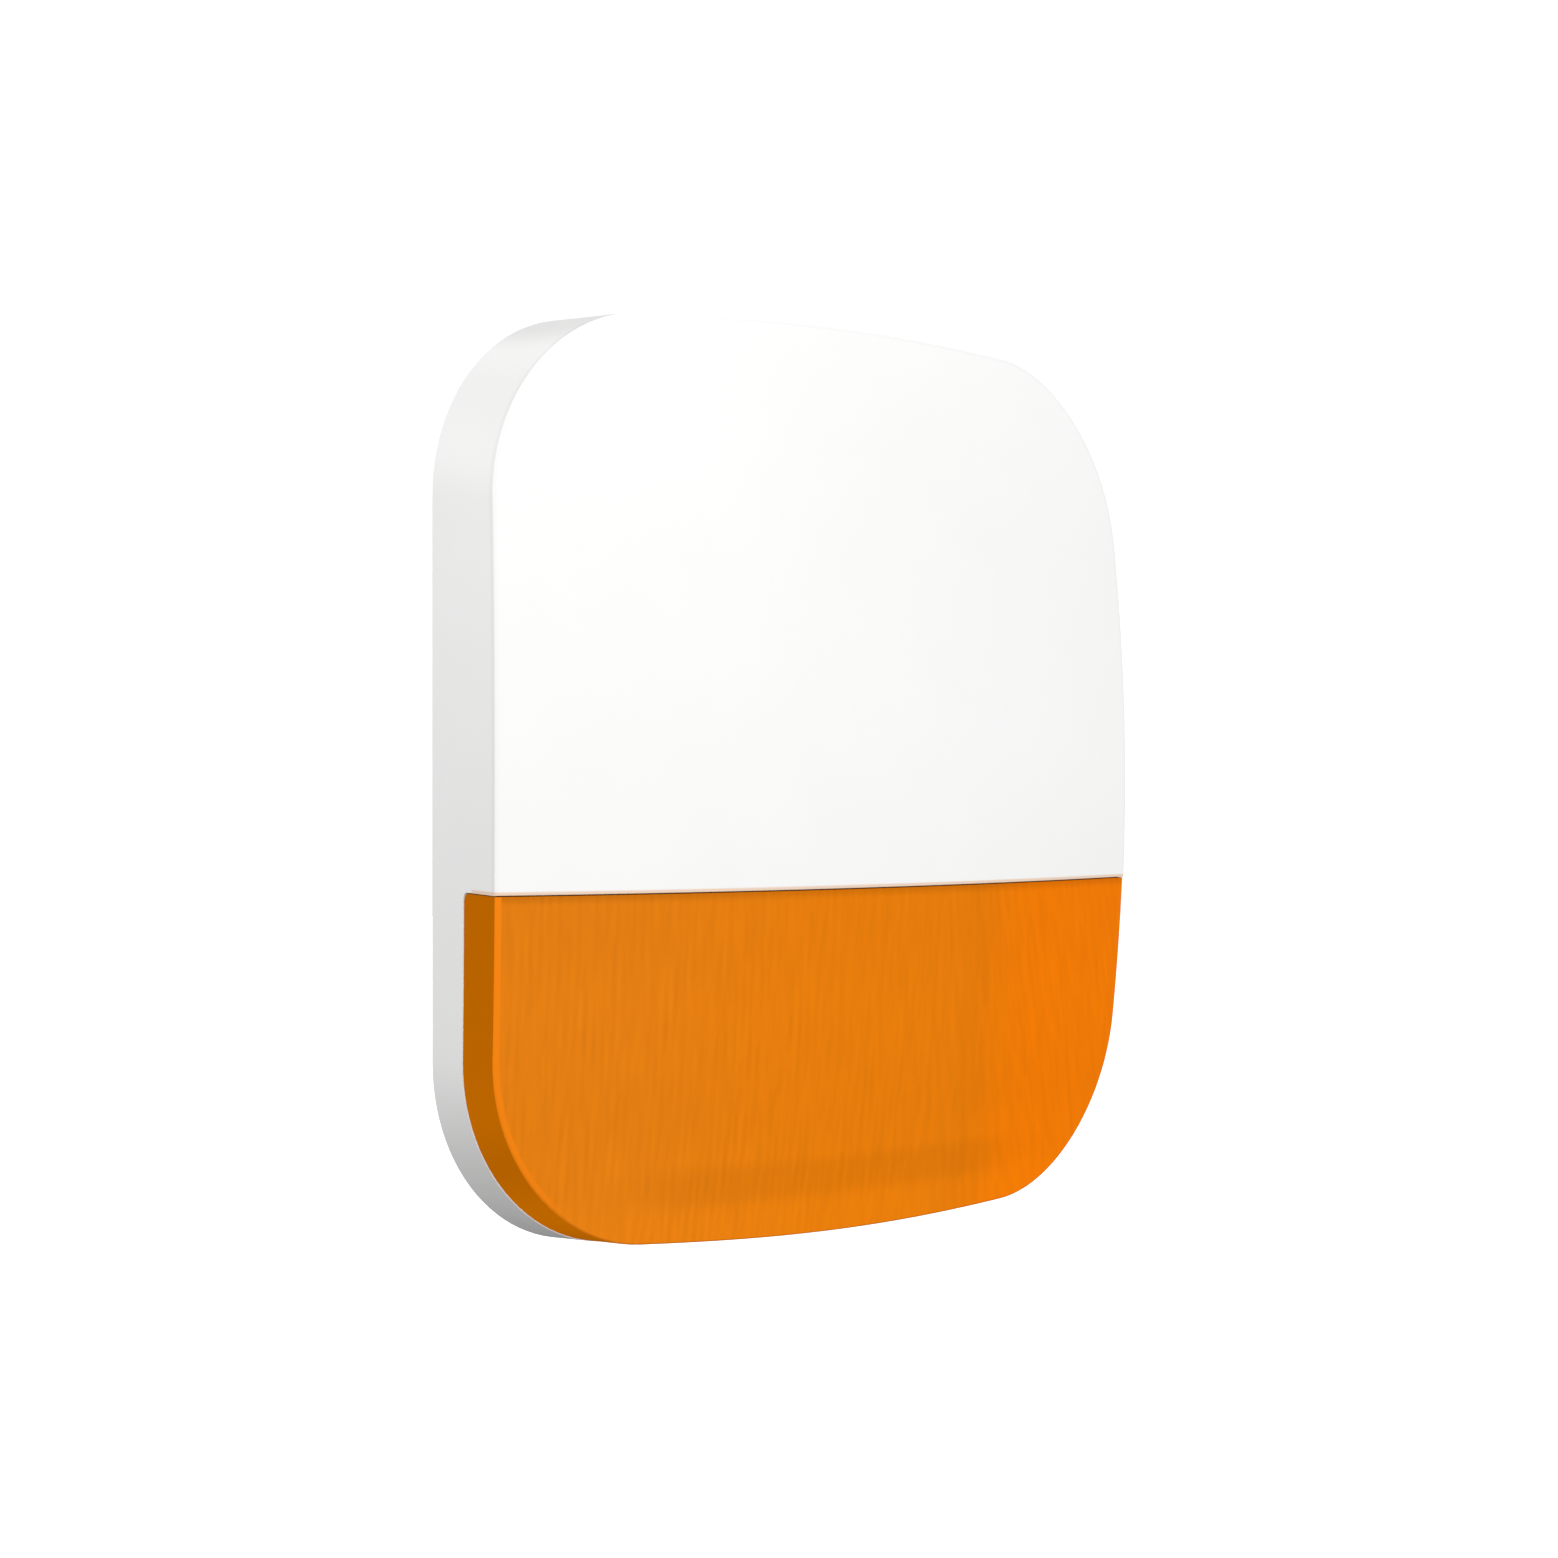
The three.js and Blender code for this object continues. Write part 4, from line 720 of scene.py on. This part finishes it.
def lens_shade(paint, ribs, x, z, from_edge):
    """How much lighter or darker the lens's front is in each place, with painted shadow under the cover and
    painted light low down.
    """
    rib_shade = paint.math("MULTIPLY_ADD", ribs, RIB_CONTRAST, 1.0)
    # painted shadow: darker just under the cover's edge
    painted_shadow_under_cover = paint.spread(z, DIVISION_Z - 3.0 * MM, DIVISION_Z - 0.3 * MM, 1.0, 0.80)
    upper_part = paint.spread(z, -62 * MM, -40 * MM, 1.0, 0.965)
    frame_band = paint.spread(paint.distance(x, FRAME_X), 1 * MM, 9 * MM, 0.965, 1.0)
    in_low_band = paint.product(
        paint.spread(paint.distance(z, FRAME_Z), 1 * MM, 9 * MM, 1.0, 0.0),
        paint.spread(x, -65 * MM, -40 * MM, 0.3, 1.0),
        paint.spread(x, 40 * MM, 62 * MM, 1.0, 0.3),
    )
    low_band = paint.spread(in_low_band, 0.0, 1.0, 1.0, 0.91)
    on_line = paint.product(
        paint.spread(paint.distance(from_edge, INNER_LINE), 0.2 * MM, 0.6 * MM, 1.0, 0.0),
        paint.spread(z, -68 * MM, -50 * MM),
    )
    inner_line = paint.spread(on_line, 0.0, 1.0, 1.0, 0.97)
    # painted light: lighter towards the lens's foot, where less light falls from below
    painted_light_at_foot = paint.spread(z, -120 * MM, -86 * MM, 1.08, 1.0)
    return paint.product(rib_shade, painted_shadow_under_cover, upper_part, low_band, frame_band, inner_line, painted_light_at_foot)


def lens_plastic():
    """Orange lens: ribs inside it, a painted glow along its rim at the left, side walls in a darker orange
    that is painted shade and lifted by painted light where they face down, and darker bands where the parts
    behind it show through."""
    paint = Paint("lens_orange")
    x, z = paint.axis("X"), paint.axis("Z")
    from_edge = paint.attribute(EDGE_ATTRIBUTE)
    ribs = lens_ribs(paint, x, z)
    front = paint.blend(paint.spread(x, -80 * MM, 10 * MM), LENS_LEFT, LENS_MIDDLE)
    front = paint.blend(paint.spread(x, 30 * MM, 66 * MM), front, LENS_RIGHT)
    front = paint.scaled(front, lens_shade(paint, ribs, x, z, from_edge))

    # painted glow: a bright band along the rim at the left
    lit_side = paint.spread(x, -83 * MM, -75 * MM, 1.0, 0.0)
    rim = paint.product(paint.spread(from_edge, 1.35 * MM, 1.75 * MM, 1.0, 0.0), lit_side)
    front = paint.blend(rim, front, LENS_RIM_PAINTED_GLOW)

    # side walls: a darker orange painted as shade, lifted by painted light where they face down
    upwards = paint.normal_axis("Z")
    painted_light_turned_down = paint.spread(upwards, -0.3, 0.0, 1.17, 1.0)
    painted_light_facing_down = paint.spread(upwards, -0.86, -0.44, 1.54, 1.0)
    wall = paint.scaled(LENS_WALL_PAINTED_SHADE, paint.product(painted_light_turned_down, painted_light_facing_down))
    on_wall = paint.spread(paint.normal_axis("Y"), -0.45, -0.3)
    paint.colour(paint.blend(on_wall, front, wall))
    paint.roughness(paint.varied(5, 0.40, 0.48, detail=4))
    paint.feed(paint.shader.inputs["Specular IOR Level"], paint.spread(on_wall, 0.0, 1.0, 0.02, 0.0))
    paint.bump(ribs, 0.006)
    return paint.material


def brushed_metal(name, colour, roughness, stretch=(1, 1, 1), mottle=0.06):
    """Plated or rolled metal with fine drawing marks."""
    paint = Paint(name)
    paint.colour(paint.scaled(colour, paint.varied(6, 1 - mottle, 1 + mottle / 2, detail=4)))
    marks = paint.noise(0.12, detail=4, stretch=stretch)
    paint.roughness(paint.spread(marks, 0.25, 0.75, roughness - 0.08, roughness + 0.12))
    paint.set(Metallic=1.0)
    paint.bump(marks, 0.004)
    return paint.material


def rubber():
    """Moulded rubber: matt, with a dusty bloom and a few pits."""
    paint = Paint("gasket_rubber")
    bloom = paint.spread(paint.noise(3, detail=6), 0.35, 0.75)
    paint.colour(paint.blend(bloom, RUBBER_DARK, RUBBER_BLOOM))
    paint.roughness(paint.spread(bloom, 0.0, 1.0, 0.72, 0.9))
    paint.set(Specular_IOR_Level=0.3)
    paint.bump(paint.cells(0.5), 0.015)
    return paint.material


TRACK_PITCH_MM = 3.2  # between pads on a circuit board


def solder_mask():
    """Green circuit board: darker over bare laminate, lighter over copper tracks, with tinned pads."""
    paint = Paint("circuit_green")
    tracks = paint.spread(paint.cells(TRACK_PITCH_MM, "DISTANCE_TO_EDGE"), 0.06, 0.10, 1.0, 0.0)
    pads = paint.spread(paint.cells(TRACK_PITCH_MM), 0.13, 0.17, 1.0, 0.0)
    mask = paint.blend(tracks, LAMINATE, COPPER_UNDER_MASK)
    paint.colour(paint.blend(pads, mask, TINNED))
    paint.roughness(paint.varied(2, 0.3, 0.42))
    paint.bump(paint.math("ADD", tracks, pads, clamp=True), 0.035)
    return paint.material


CELL_END = 2.3 * MM  # length of bare steel at each end of a cell
CELL_BAND = 6.1 * MM  # from each end to where the sleeve's silver band starts
ELECTRODE_RADIUS = 10.7 * MM  # of the piezo ceramic's silver spot
LED_DOME_DEPTH = 1.6 * MM  # of the LED's dome and spot, in front of its white frame


def cell_sleeve():
    """Lithium cell: a blue shrink sleeve between steel ends, wrinkled where it turns in."""
    low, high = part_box("battery_cell_1")
    middle, half = (low.z + high.z) / 2, (high.z - low.z) / 2
    paint = Paint("cell_sleeve")
    from_middle = paint.distance(paint.axis("Z"), middle)
    end = paint.past(from_middle, half - CELL_END)
    band = paint.past(from_middle, half - CELL_BAND)
    sleeve = paint.blend(band, SLEEVE_BLUE, SLEEVE_SILVER)
    sleeve = paint.scaled(sleeve, paint.varied(7, 0.92, 1.05, detail=4))
    paint.colour(paint.blend(end, sleeve, CELL_STEEL))
    paint.feed(paint.shader.inputs["Metallic"], end)
    paint.roughness(paint.varied(1.5, 0.28, 0.4, detail=4))
    paint.bump(paint.noise(1.2, detail=3, stretch=(1, 1, 5)), 0.03)
    return paint.material


def ceramic():
    """Fired piezo ceramic with a silver electrode spot and a fine sintered grain."""
    paint = Paint("piezo_ceramic")
    low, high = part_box("piezo_ceramic")
    centre = (low + high) / 2
    dx = paint.math("SUBTRACT", paint.axis("X"), centre.x)
    dz = paint.math("SUBTRACT", paint.axis("Z"), centre.z)
    squares = [paint.math("POWER", distance, 2.0) for distance in (dx, dz)]
    radius = paint.math("SQRT", paint.math("ADD", *squares))
    electrode = paint.within(radius, ELECTRODE_RADIUS)
    body = paint.blend(paint.noise(1.5, detail=5), CERAMIC_DARK, CERAMIC_PALE)
    paint.colour(paint.blend(electrode, body, ELECTRODE))
    paint.roughness(paint.varied(0.6, 0.4, 0.6))
    paint.bump(paint.noise(0.4, detail=3), 0.008)
    return paint.material


def led_lens():
    """LED: a white frame with a yellow phosphor spot under a clear dome."""
    paint = Paint("led_lens")
    low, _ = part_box("strobe_led_1")
    dome = paint.within(paint.axis("Y"), low.y + LED_DOME_DEPTH)
    grain = paint.noise(0.4, detail=3)
    phosphor = paint.blend(grain, PHOSPHOR_DARK, PHOSPHOR_PALE)
    paint.colour(paint.blend(dome, paint.blend(grain, LED_FRAME_DARK, LED_FRAME_PALE), phosphor))
    paint.roughness(paint.spread(dome, 0.0, 1.0, 0.5, 0.1))
    paint.set(Coat_Weight=0.4, Coat_Roughness=0.05)
    return paint.material


def cable_sheath(name, colour):
    """Extruded insulation: slightly glossy, with faint draw lines."""
    paint = Paint(name)
    paint.colour(paint.scaled(colour, paint.varied(5, 0.88, 1.08)))
    paint.roughness(paint.varied(1, 0.3, 0.45))
    paint.bump(paint.noise(0.5, detail=2), 0.01)
    return paint.material


def two_layers(name, axis, limit, low_side, high_side):
    """One piece of two stuffs that meet at a place along an axis. Each is (colour, metallic, roughness)."""
    paint = Paint(name)
    upper = paint.past(paint.axis(axis), limit, CUT_LIMIT)
    shade = paint.varied(2.5, 0.9, 1.06, detail=5)
    paint.colour(paint.scaled(paint.blend(upper, low_side[0], high_side[0]), shade))
    paint.feed(paint.shader.inputs["Metallic"], paint.spread(upper, 0, 1, low_side[1], high_side[1]))
    scuffs = paint.product(paint.noise(0.7, detail=4), 0.08)
    paint.roughness(paint.math("ADD", paint.spread(upper, 0, 1, low_side[2], high_side[2]), scuffs))
    paint.bump(paint.noise(0.3, detail=3), 0.006)
    return paint.material


WIRE_PITCH = 0.4 * MM  # between the transformer's turns
TAPE_REACH = 2.25 * MM  # half the height of the tape round them
BOBBIN_REACH = 3.95 * MM  # half the height of the bobbin between the core's ends
SHIELD_HEIGHT = 2.1 * MM  # of the radio module's can
CAN_END = 0.5 * MM  # length of the capacitor's bare end


def wound_core():
    """The transformer: a dark ferrite core with a bobbin of copper wire under yellow tape."""
    low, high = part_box("transformer")
    middle = (low.z + high.z) / 2
    paint = Paint("transformer")
    from_middle = paint.distance(paint.axis("Z"), middle)
    core = paint.past(from_middle, BOBBIN_REACH, SHARP_LIMIT)
    turns = paint.math("SINE", paint.product(paint.axis("Z"), 2 * math.pi / WIRE_PITCH))
    # painted shade and painted highlight across each turn of wire
    copper = paint.blend(paint.spread(turns, -1, 1), WIRE_PAINTED_SHADE, WIRE_PAINTED_HIGHLIGHT)
    tape = paint.within(from_middle, TAPE_REACH, SHARP_LIMIT)
    wound = paint.blend(tape, copper, TAPE)
    ferrite = paint.blend(paint.noise(0.5, detail=4), FERRITE_DARK, FERRITE_PALE)
    paint.colour(paint.blend(core, wound, ferrite))
    paint.roughness(paint.varied(1, 0.35, 0.55, detail=4))
    paint.bump(turns, 0.02)
    return paint.material


def radio_shield():
    """The radio module's green card under a drawn steel can."""
    card_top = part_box("radio_module")[0].y + SHIELD_HEIGHT
    return two_layers("radio_shield", "Y", card_top, SHIELD_STEEL, MODULE_CARD)


def capacitor_can():
    """The capacitor's bare aluminium end and dark sleeve."""
    sleeve_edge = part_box("capacitor")[0].y + CAN_END
    return two_layers("capacitor", "Y", sleeve_edge, CAN_ALUMINIUM, CAN_SLEEVE)


# the material of each of the record's slots
MATERIALS = {
    "cover_white": cover_plastic(),
    "housing_white": plastic("housing_white", HOUSING_WHITE, 0.5, mottle=0.03, grain_depth_mm=0.016),
    "lens_orange": lens_plastic(),
    "bracket_grey": plastic("bracket_grey", BRACKET_GREY, 0.52, mottle=0.04, grain_depth_mm=0.02),
    "black_plastic": plastic("black_plastic", PLASTIC_BLACK, 0.45, mottle=0.1, grain_depth_mm=0.012),
    "gasket_rubber": rubber(),
    "circuit_green": solder_mask(),
    "screw_steel": brushed_metal("screw_steel", SCREW_STEEL, 0.3),
    "brass": brushed_metal("brass", BRASS, 0.3),
    "piezo_ceramic": ceramic(),
    "cell_wrap": cell_sleeve(),
    "led_lens": led_lens(),
    "terminal_green": plastic("terminal_green", TERMINAL_GREEN, 0.4, mottle=0.08),
    "cable_red": cable_sheath("cable_red", CABLE_RED),
}

# nodes whose material is their own, and not their slot's
OWN_MATERIALS = {
    "reflector": plastic("reflector_white", REFLECTOR_WHITE, 0.2, specular=0.7, mottle=0.02),
    "transformer": wound_core(),
    "capacitor": capacitor_can(),
    "radio_module": radio_shield(),
    "sounder_cable": cable_sheath("cable_black", CABLE_BLACK),
    "power_switch_body": brushed_metal("drawn_steel", DRAWN_STEEL, 0.34, stretch=(12, 1, 1)),
}


# ---------- pieces ----------
WIRES = ("antenna", "strobe_cable", "sounder_cable")
SPRING = "tamper_spring"

# degrees between two faces from which the edge between them stays sharp
DOME_SHARP = 18
WIRE_SHARP = 80
OTHER_SHARP = 30

FLAT_ANGLE = math.radians(0.5)  # CAD faces nearer to one plane than this are merged
BEVEL_ANGLE = math.radians(32)  # edges that turn by more than this are rounded
BEVEL_WIDTH = 0.22 * MM
BEVEL_SEGMENTS = 2

# of each kind of screw: height of its head, radius of its shank, and the direction from its tip to its head
TO_BACK, TO_FRONT, DOWN = (0, 1, 0), (0, -1, 0), (0, 0, -1)
SCREWS = {
    "housing_screw": (1.8 * MM, 1.5 * MM, TO_BACK),
    "lens_screw": (1.1 * MM, 1.2 * MM, TO_BACK),
    "battery_door_screw": (1.5 * MM, 1.4 * MM, TO_BACK),
    "sounder_screw": (1.4 * MM, 1.2 * MM, TO_FRONT),
    "board_screw": (1.4 * MM, 1.1 * MM, TO_FRONT),
    "locking_screw": (2.4 * MM, 2.0 * MM, DOWN),
}
SCREW_SIDES = 40
SCREW_MIDDLE = 0.15 * MM  # radius of the small flats in the middle of both ends
TIP_FLAT, TIP_BASE, TIP_LENGTH = 0.55, 0.86, 0.7 * MM  # two shares of the shank's radius, and a length
THREAD_PITCH = 0.9 * MM
THREAD_START = 0.8 * MM
THREAD_MARGIN = 1.2 * MM  # length of the shank that holds no whole turn
THREAD_ROOT = 0.84  # share of the shank's radius
# shares of the shank's radius and of the pitch
THREAD_FORM = ((THREAD_ROOT, 0), (1, 0.35), (1, 0.5), (THREAD_ROOT, 0.85))
NECK = 0.02 * MM  # from the shank's last ring to the head
HEAD_UNDERSIDE, HEAD_TOP = 0.94, 0.55  # shares of the head's radius
HEAD_RIM = 0.35  # share of the head's height where its rounding starts
HEAD_STEPS = 6
CROSS_ARM, CROSS_BLADE = 0.62, 0.15  # half length and half width of the recess, in head radii
CROSS_DEPTH = 0.6  # share of the head's height
CLEAR = 1 * MM  # how far a cutting solid reaches past the head


def finish_piece(obj, node, sharp_degrees=OTHER_SHARP):
    """Shades a new piece, gives it its material, and lets it stand for its CAD node."""
    smooth_by_angle(obj, sharp_degrees)
    obj.data.materials.clear()
    obj.data.materials.append(OWN_MATERIALS.get(node, MATERIALS[SLOT_OF[node]]))
    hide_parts(node)
    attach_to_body(obj, BODY_OF[node])


def refined_copy(node):
    """A CAD node's shape with its flat faces merged and its edges slightly rounded."""
    bm = welded_mesh(node)
    bmesh.ops.dissolve_limit(bm, angle_limit=FLAT_ANGLE, verts=bm.verts, edges=bm.edges)
    obj = object_from(bm, node + "_fine")
    bevel = obj.modifiers.new("rounded_edges", "BEVEL")
    bevel.width = BEVEL_WIDTH
    bevel.segments = BEVEL_SEGMENTS
    bevel.limit_method = "ANGLE"
    bevel.angle_limit = BEVEL_ANGLE
    bevel.harden_normals = True
    return obj


def wire_piece(node):
    """A wire or spring, rounded from its few-sided CAD section."""
    obj = copy_of_node(node, node + "_fine")
    subdivision = obj.modifiers.new("round", "SUBSURF")
    subdivision.levels = 1
    subdivision.render_levels = 1
    return obj


def press_together(obj):
    """Gives a spring its own copy of its mesh."""
    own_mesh(obj)


def kind_of(node):
    """A node's name without its number."""
    return node.rstrip("_0123456789")


def screw_profile(length, radius, head_height, shank):
    """(radius, height) points along a pan-head screw, from its tip to the top of its head."""
    start = length - head_height
    profile = [(SCREW_MIDDLE, 0), (shank * TIP_FLAT, 0), (shank * TIP_BASE, TIP_LENGTH)]
    for i in range(int((start - THREAD_MARGIN) / THREAD_PITCH)):
        height = THREAD_START + THREAD_PITCH * i
        profile += [(shank * out, height + THREAD_PITCH * up) for out, up in THREAD_FORM]
    profile += [(shank * THREAD_ROOT, start - NECK), (radius * HEAD_UNDERSIDE, start)]
    for k in range(HEAD_STEPS + 1):
        angle = math.pi / 2 * k / HEAD_STEPS
        out = HEAD_TOP + (1 - HEAD_TOP) * math.cos(angle)
        up = HEAD_RIM + (1 - HEAD_RIM) * math.sin(angle)
        profile.append((radius * out, start + head_height * up))
    profile.append((SCREW_MIDDLE, length))
    return profile


def screw_piece(node):
    """A pan-head screw with a cross recess and a thread, inside its CAD node's box."""
    head_height, shank, direction = SCREWS[kind_of(node)]
    low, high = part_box(node)
    axis = Vector(direction)
    length = abs((high - low).dot(axis))
    radius = (high.x - low.x) / 2
    obj = turned_solid(screw_profile(length, radius, head_height, shank), SCREW_SIDES, node + "_fine")

    arm, blade = radius * CROSS_ARM, radius * CROSS_BLADE
    floor = length - head_height * CROSS_DEPTH
    for half_x, half_y in ((arm, blade), (blade, arm)):
        tool = box_solid((-half_x, -half_y, floor), (half_x, half_y, length + CLEAR), "cross")
        obj = combine(obj, tool, "DIFFERENCE")

    turn = Vector((0, 0, 1)).rotation_difference(axis).to_matrix().to_4x4()
    tip = (low + high) / 2 - axis * length / 2
    obj.data.transform(Matrix.Translation(tip) @ turn)
    return obj


for node in sorted(NODES):
    if node == "front_cover":
        cover = build_front_cover()
        finish_piece(cover, node, DOME_SHARP)
        even_shading(cover, 0)
    elif node == "strobe_lens":
        lens = build_lens()
        finish_piece(lens, node, DOME_SHARP)
        even_shading(lens, LENS_SKIN)
    elif kind_of(node) in SCREWS:
        finish_piece(screw_piece(node), node)
    elif node in WIRES:
        finish_piece(wire_piece(node), node, WIRE_SHARP)
    elif node == SPRING:
        spring = wire_piece(node)
        finish_piece(spring, node, WIRE_SHARP)
        press_together(spring)
    else:
        finish_piece(refined_copy(node), node)


# ---------- stage, light and camera ----------
FLOOR_Z = -0.62
FLOOR_RADIUS = 8
FLOOR_SIDES = 96
FLOOR_WHITE = (0.95, 0.95, 0.95)
FLOOR_GLOW = 0.4
LIGHT_MEAN = 0.617  # brightness of the studio dome, averaged over all directions
LIGHT_TILT = (-0.3225, -0.6225, 0.621)  # how much brighter it is to the left, in front and above
BACK_LIGHT = 0.55  # brightness of a soft panel behind the object
BACK_NARROWNESS = 3.0  # the power that makes that panel fade to its sides
RIGHT_LIGHT = 0.20  # and of one at its right
BACKDROP = 1.05
# where the photograph's camera stood, from a fit to the outline in the photograph
CAMERA_PLACE = (-0.2482, -0.4719, 0.0)
CAMERA_TURN = -0.4885  # radians about Z
FOCAL_LENGTH = 42.75  # in millimetres, for a sensor 36 mm wide
SENSOR_WIDTH = 36
NEAREST = 0.01


def build_stage():
    """A white floor well below the object, which lights nothing and is not mirrored."""
    bm = bmesh.new()
    bmesh.ops.create_circle(bm, cap_ends=True, segments=FLOOR_SIDES, radius=FLOOR_RADIUS)
    floor = object_from(bm, "floor")
    floor.location.z = FLOOR_Z
    floor.visible_diffuse = False
    floor.visible_glossy = False
    paint = Paint("floor_white")
    paint.colour(paint.scaled(FLOOR_WHITE, paint.varied(900, 0.99, 1.0, detail=2)))
    paint.set(Emission_Color=(1, 1, 1, 1), Emission_Strength=FLOOR_GLOW)
    floor.data.materials.append(paint.material)


def build_light():
    """A soft studio dome with a panel behind and one at the right, in front of a plain white backdrop."""
    world = bpy.data.worlds.new("studio")
    bpy.context.scene.world = world
    world.use_nodes = True
    nodes, links = world.node_tree.nodes, world.node_tree.links
    direction = nodes.new("ShaderNodeTexCoord").outputs["Generated"]

    def calculate(operation, *sources):
        """One Math node's result."""
        node = nodes.new("ShaderNodeMath")
        node.operation = operation
        for socket, source in zip(node.inputs, sources):
            if isinstance(source, float):
                socket.default_value = source
            else:
                links.new(source, socket)
        return node.outputs[0]

    tilt = nodes.new("ShaderNodeVectorMath")
    tilt.operation = "DOT_PRODUCT"
    tilt.inputs[1].default_value = LIGHT_TILT
    links.new(direction, tilt.inputs[0])
    axes = nodes.new("ShaderNodeSeparateXYZ")
    links.new(direction, axes.inputs[0])
    dome = calculate("MAXIMUM", calculate("ADD", tilt.outputs["Value"], LIGHT_MEAN), 0.0)
    behind = calculate("POWER", calculate("MAXIMUM", axes.outputs["Y"], 0.0), BACK_NARROWNESS)
    right = calculate("MAXIMUM", axes.outputs["X"], 0.0)
    dome = calculate("MULTIPLY_ADD", behind, BACK_LIGHT, dome)
    dome = calculate("MULTIPLY_ADD", right, RIGHT_LIGHT, dome)

    seen = nodes.new("ShaderNodeMix")
    links.new(nodes.new("ShaderNodeLightPath").outputs["Is Camera Ray"], seen.inputs["Factor"])
    links.new(dome, seen.inputs["A"])
    seen.inputs["B"].default_value = BACKDROP
    links.new(seen.outputs["Result"], nodes["Background"].inputs["Strength"])
    nodes["Background"].inputs["Color"].default_value = (1, 1, 1, 1)


def build_camera():
    """The camera that took the photograph."""
    camera = bpy.data.objects.new("camera", bpy.data.cameras.new("camera"))
    bpy.context.scene.collection.objects.link(camera)
    camera.location = CAMERA_PLACE
    camera.rotation_euler = (math.pi / 2, 0, CAMERA_TURN)
    camera.data.sensor_width = SENSOR_WIDTH
    camera.data.lens = FOCAL_LENGTH
    camera.data.clip_start = NEAREST
    bpy.context.scene.camera = camera


build_stage()
build_light()
build_camera()
bpy.context.scene.view_settings.view_transform = "Standard"
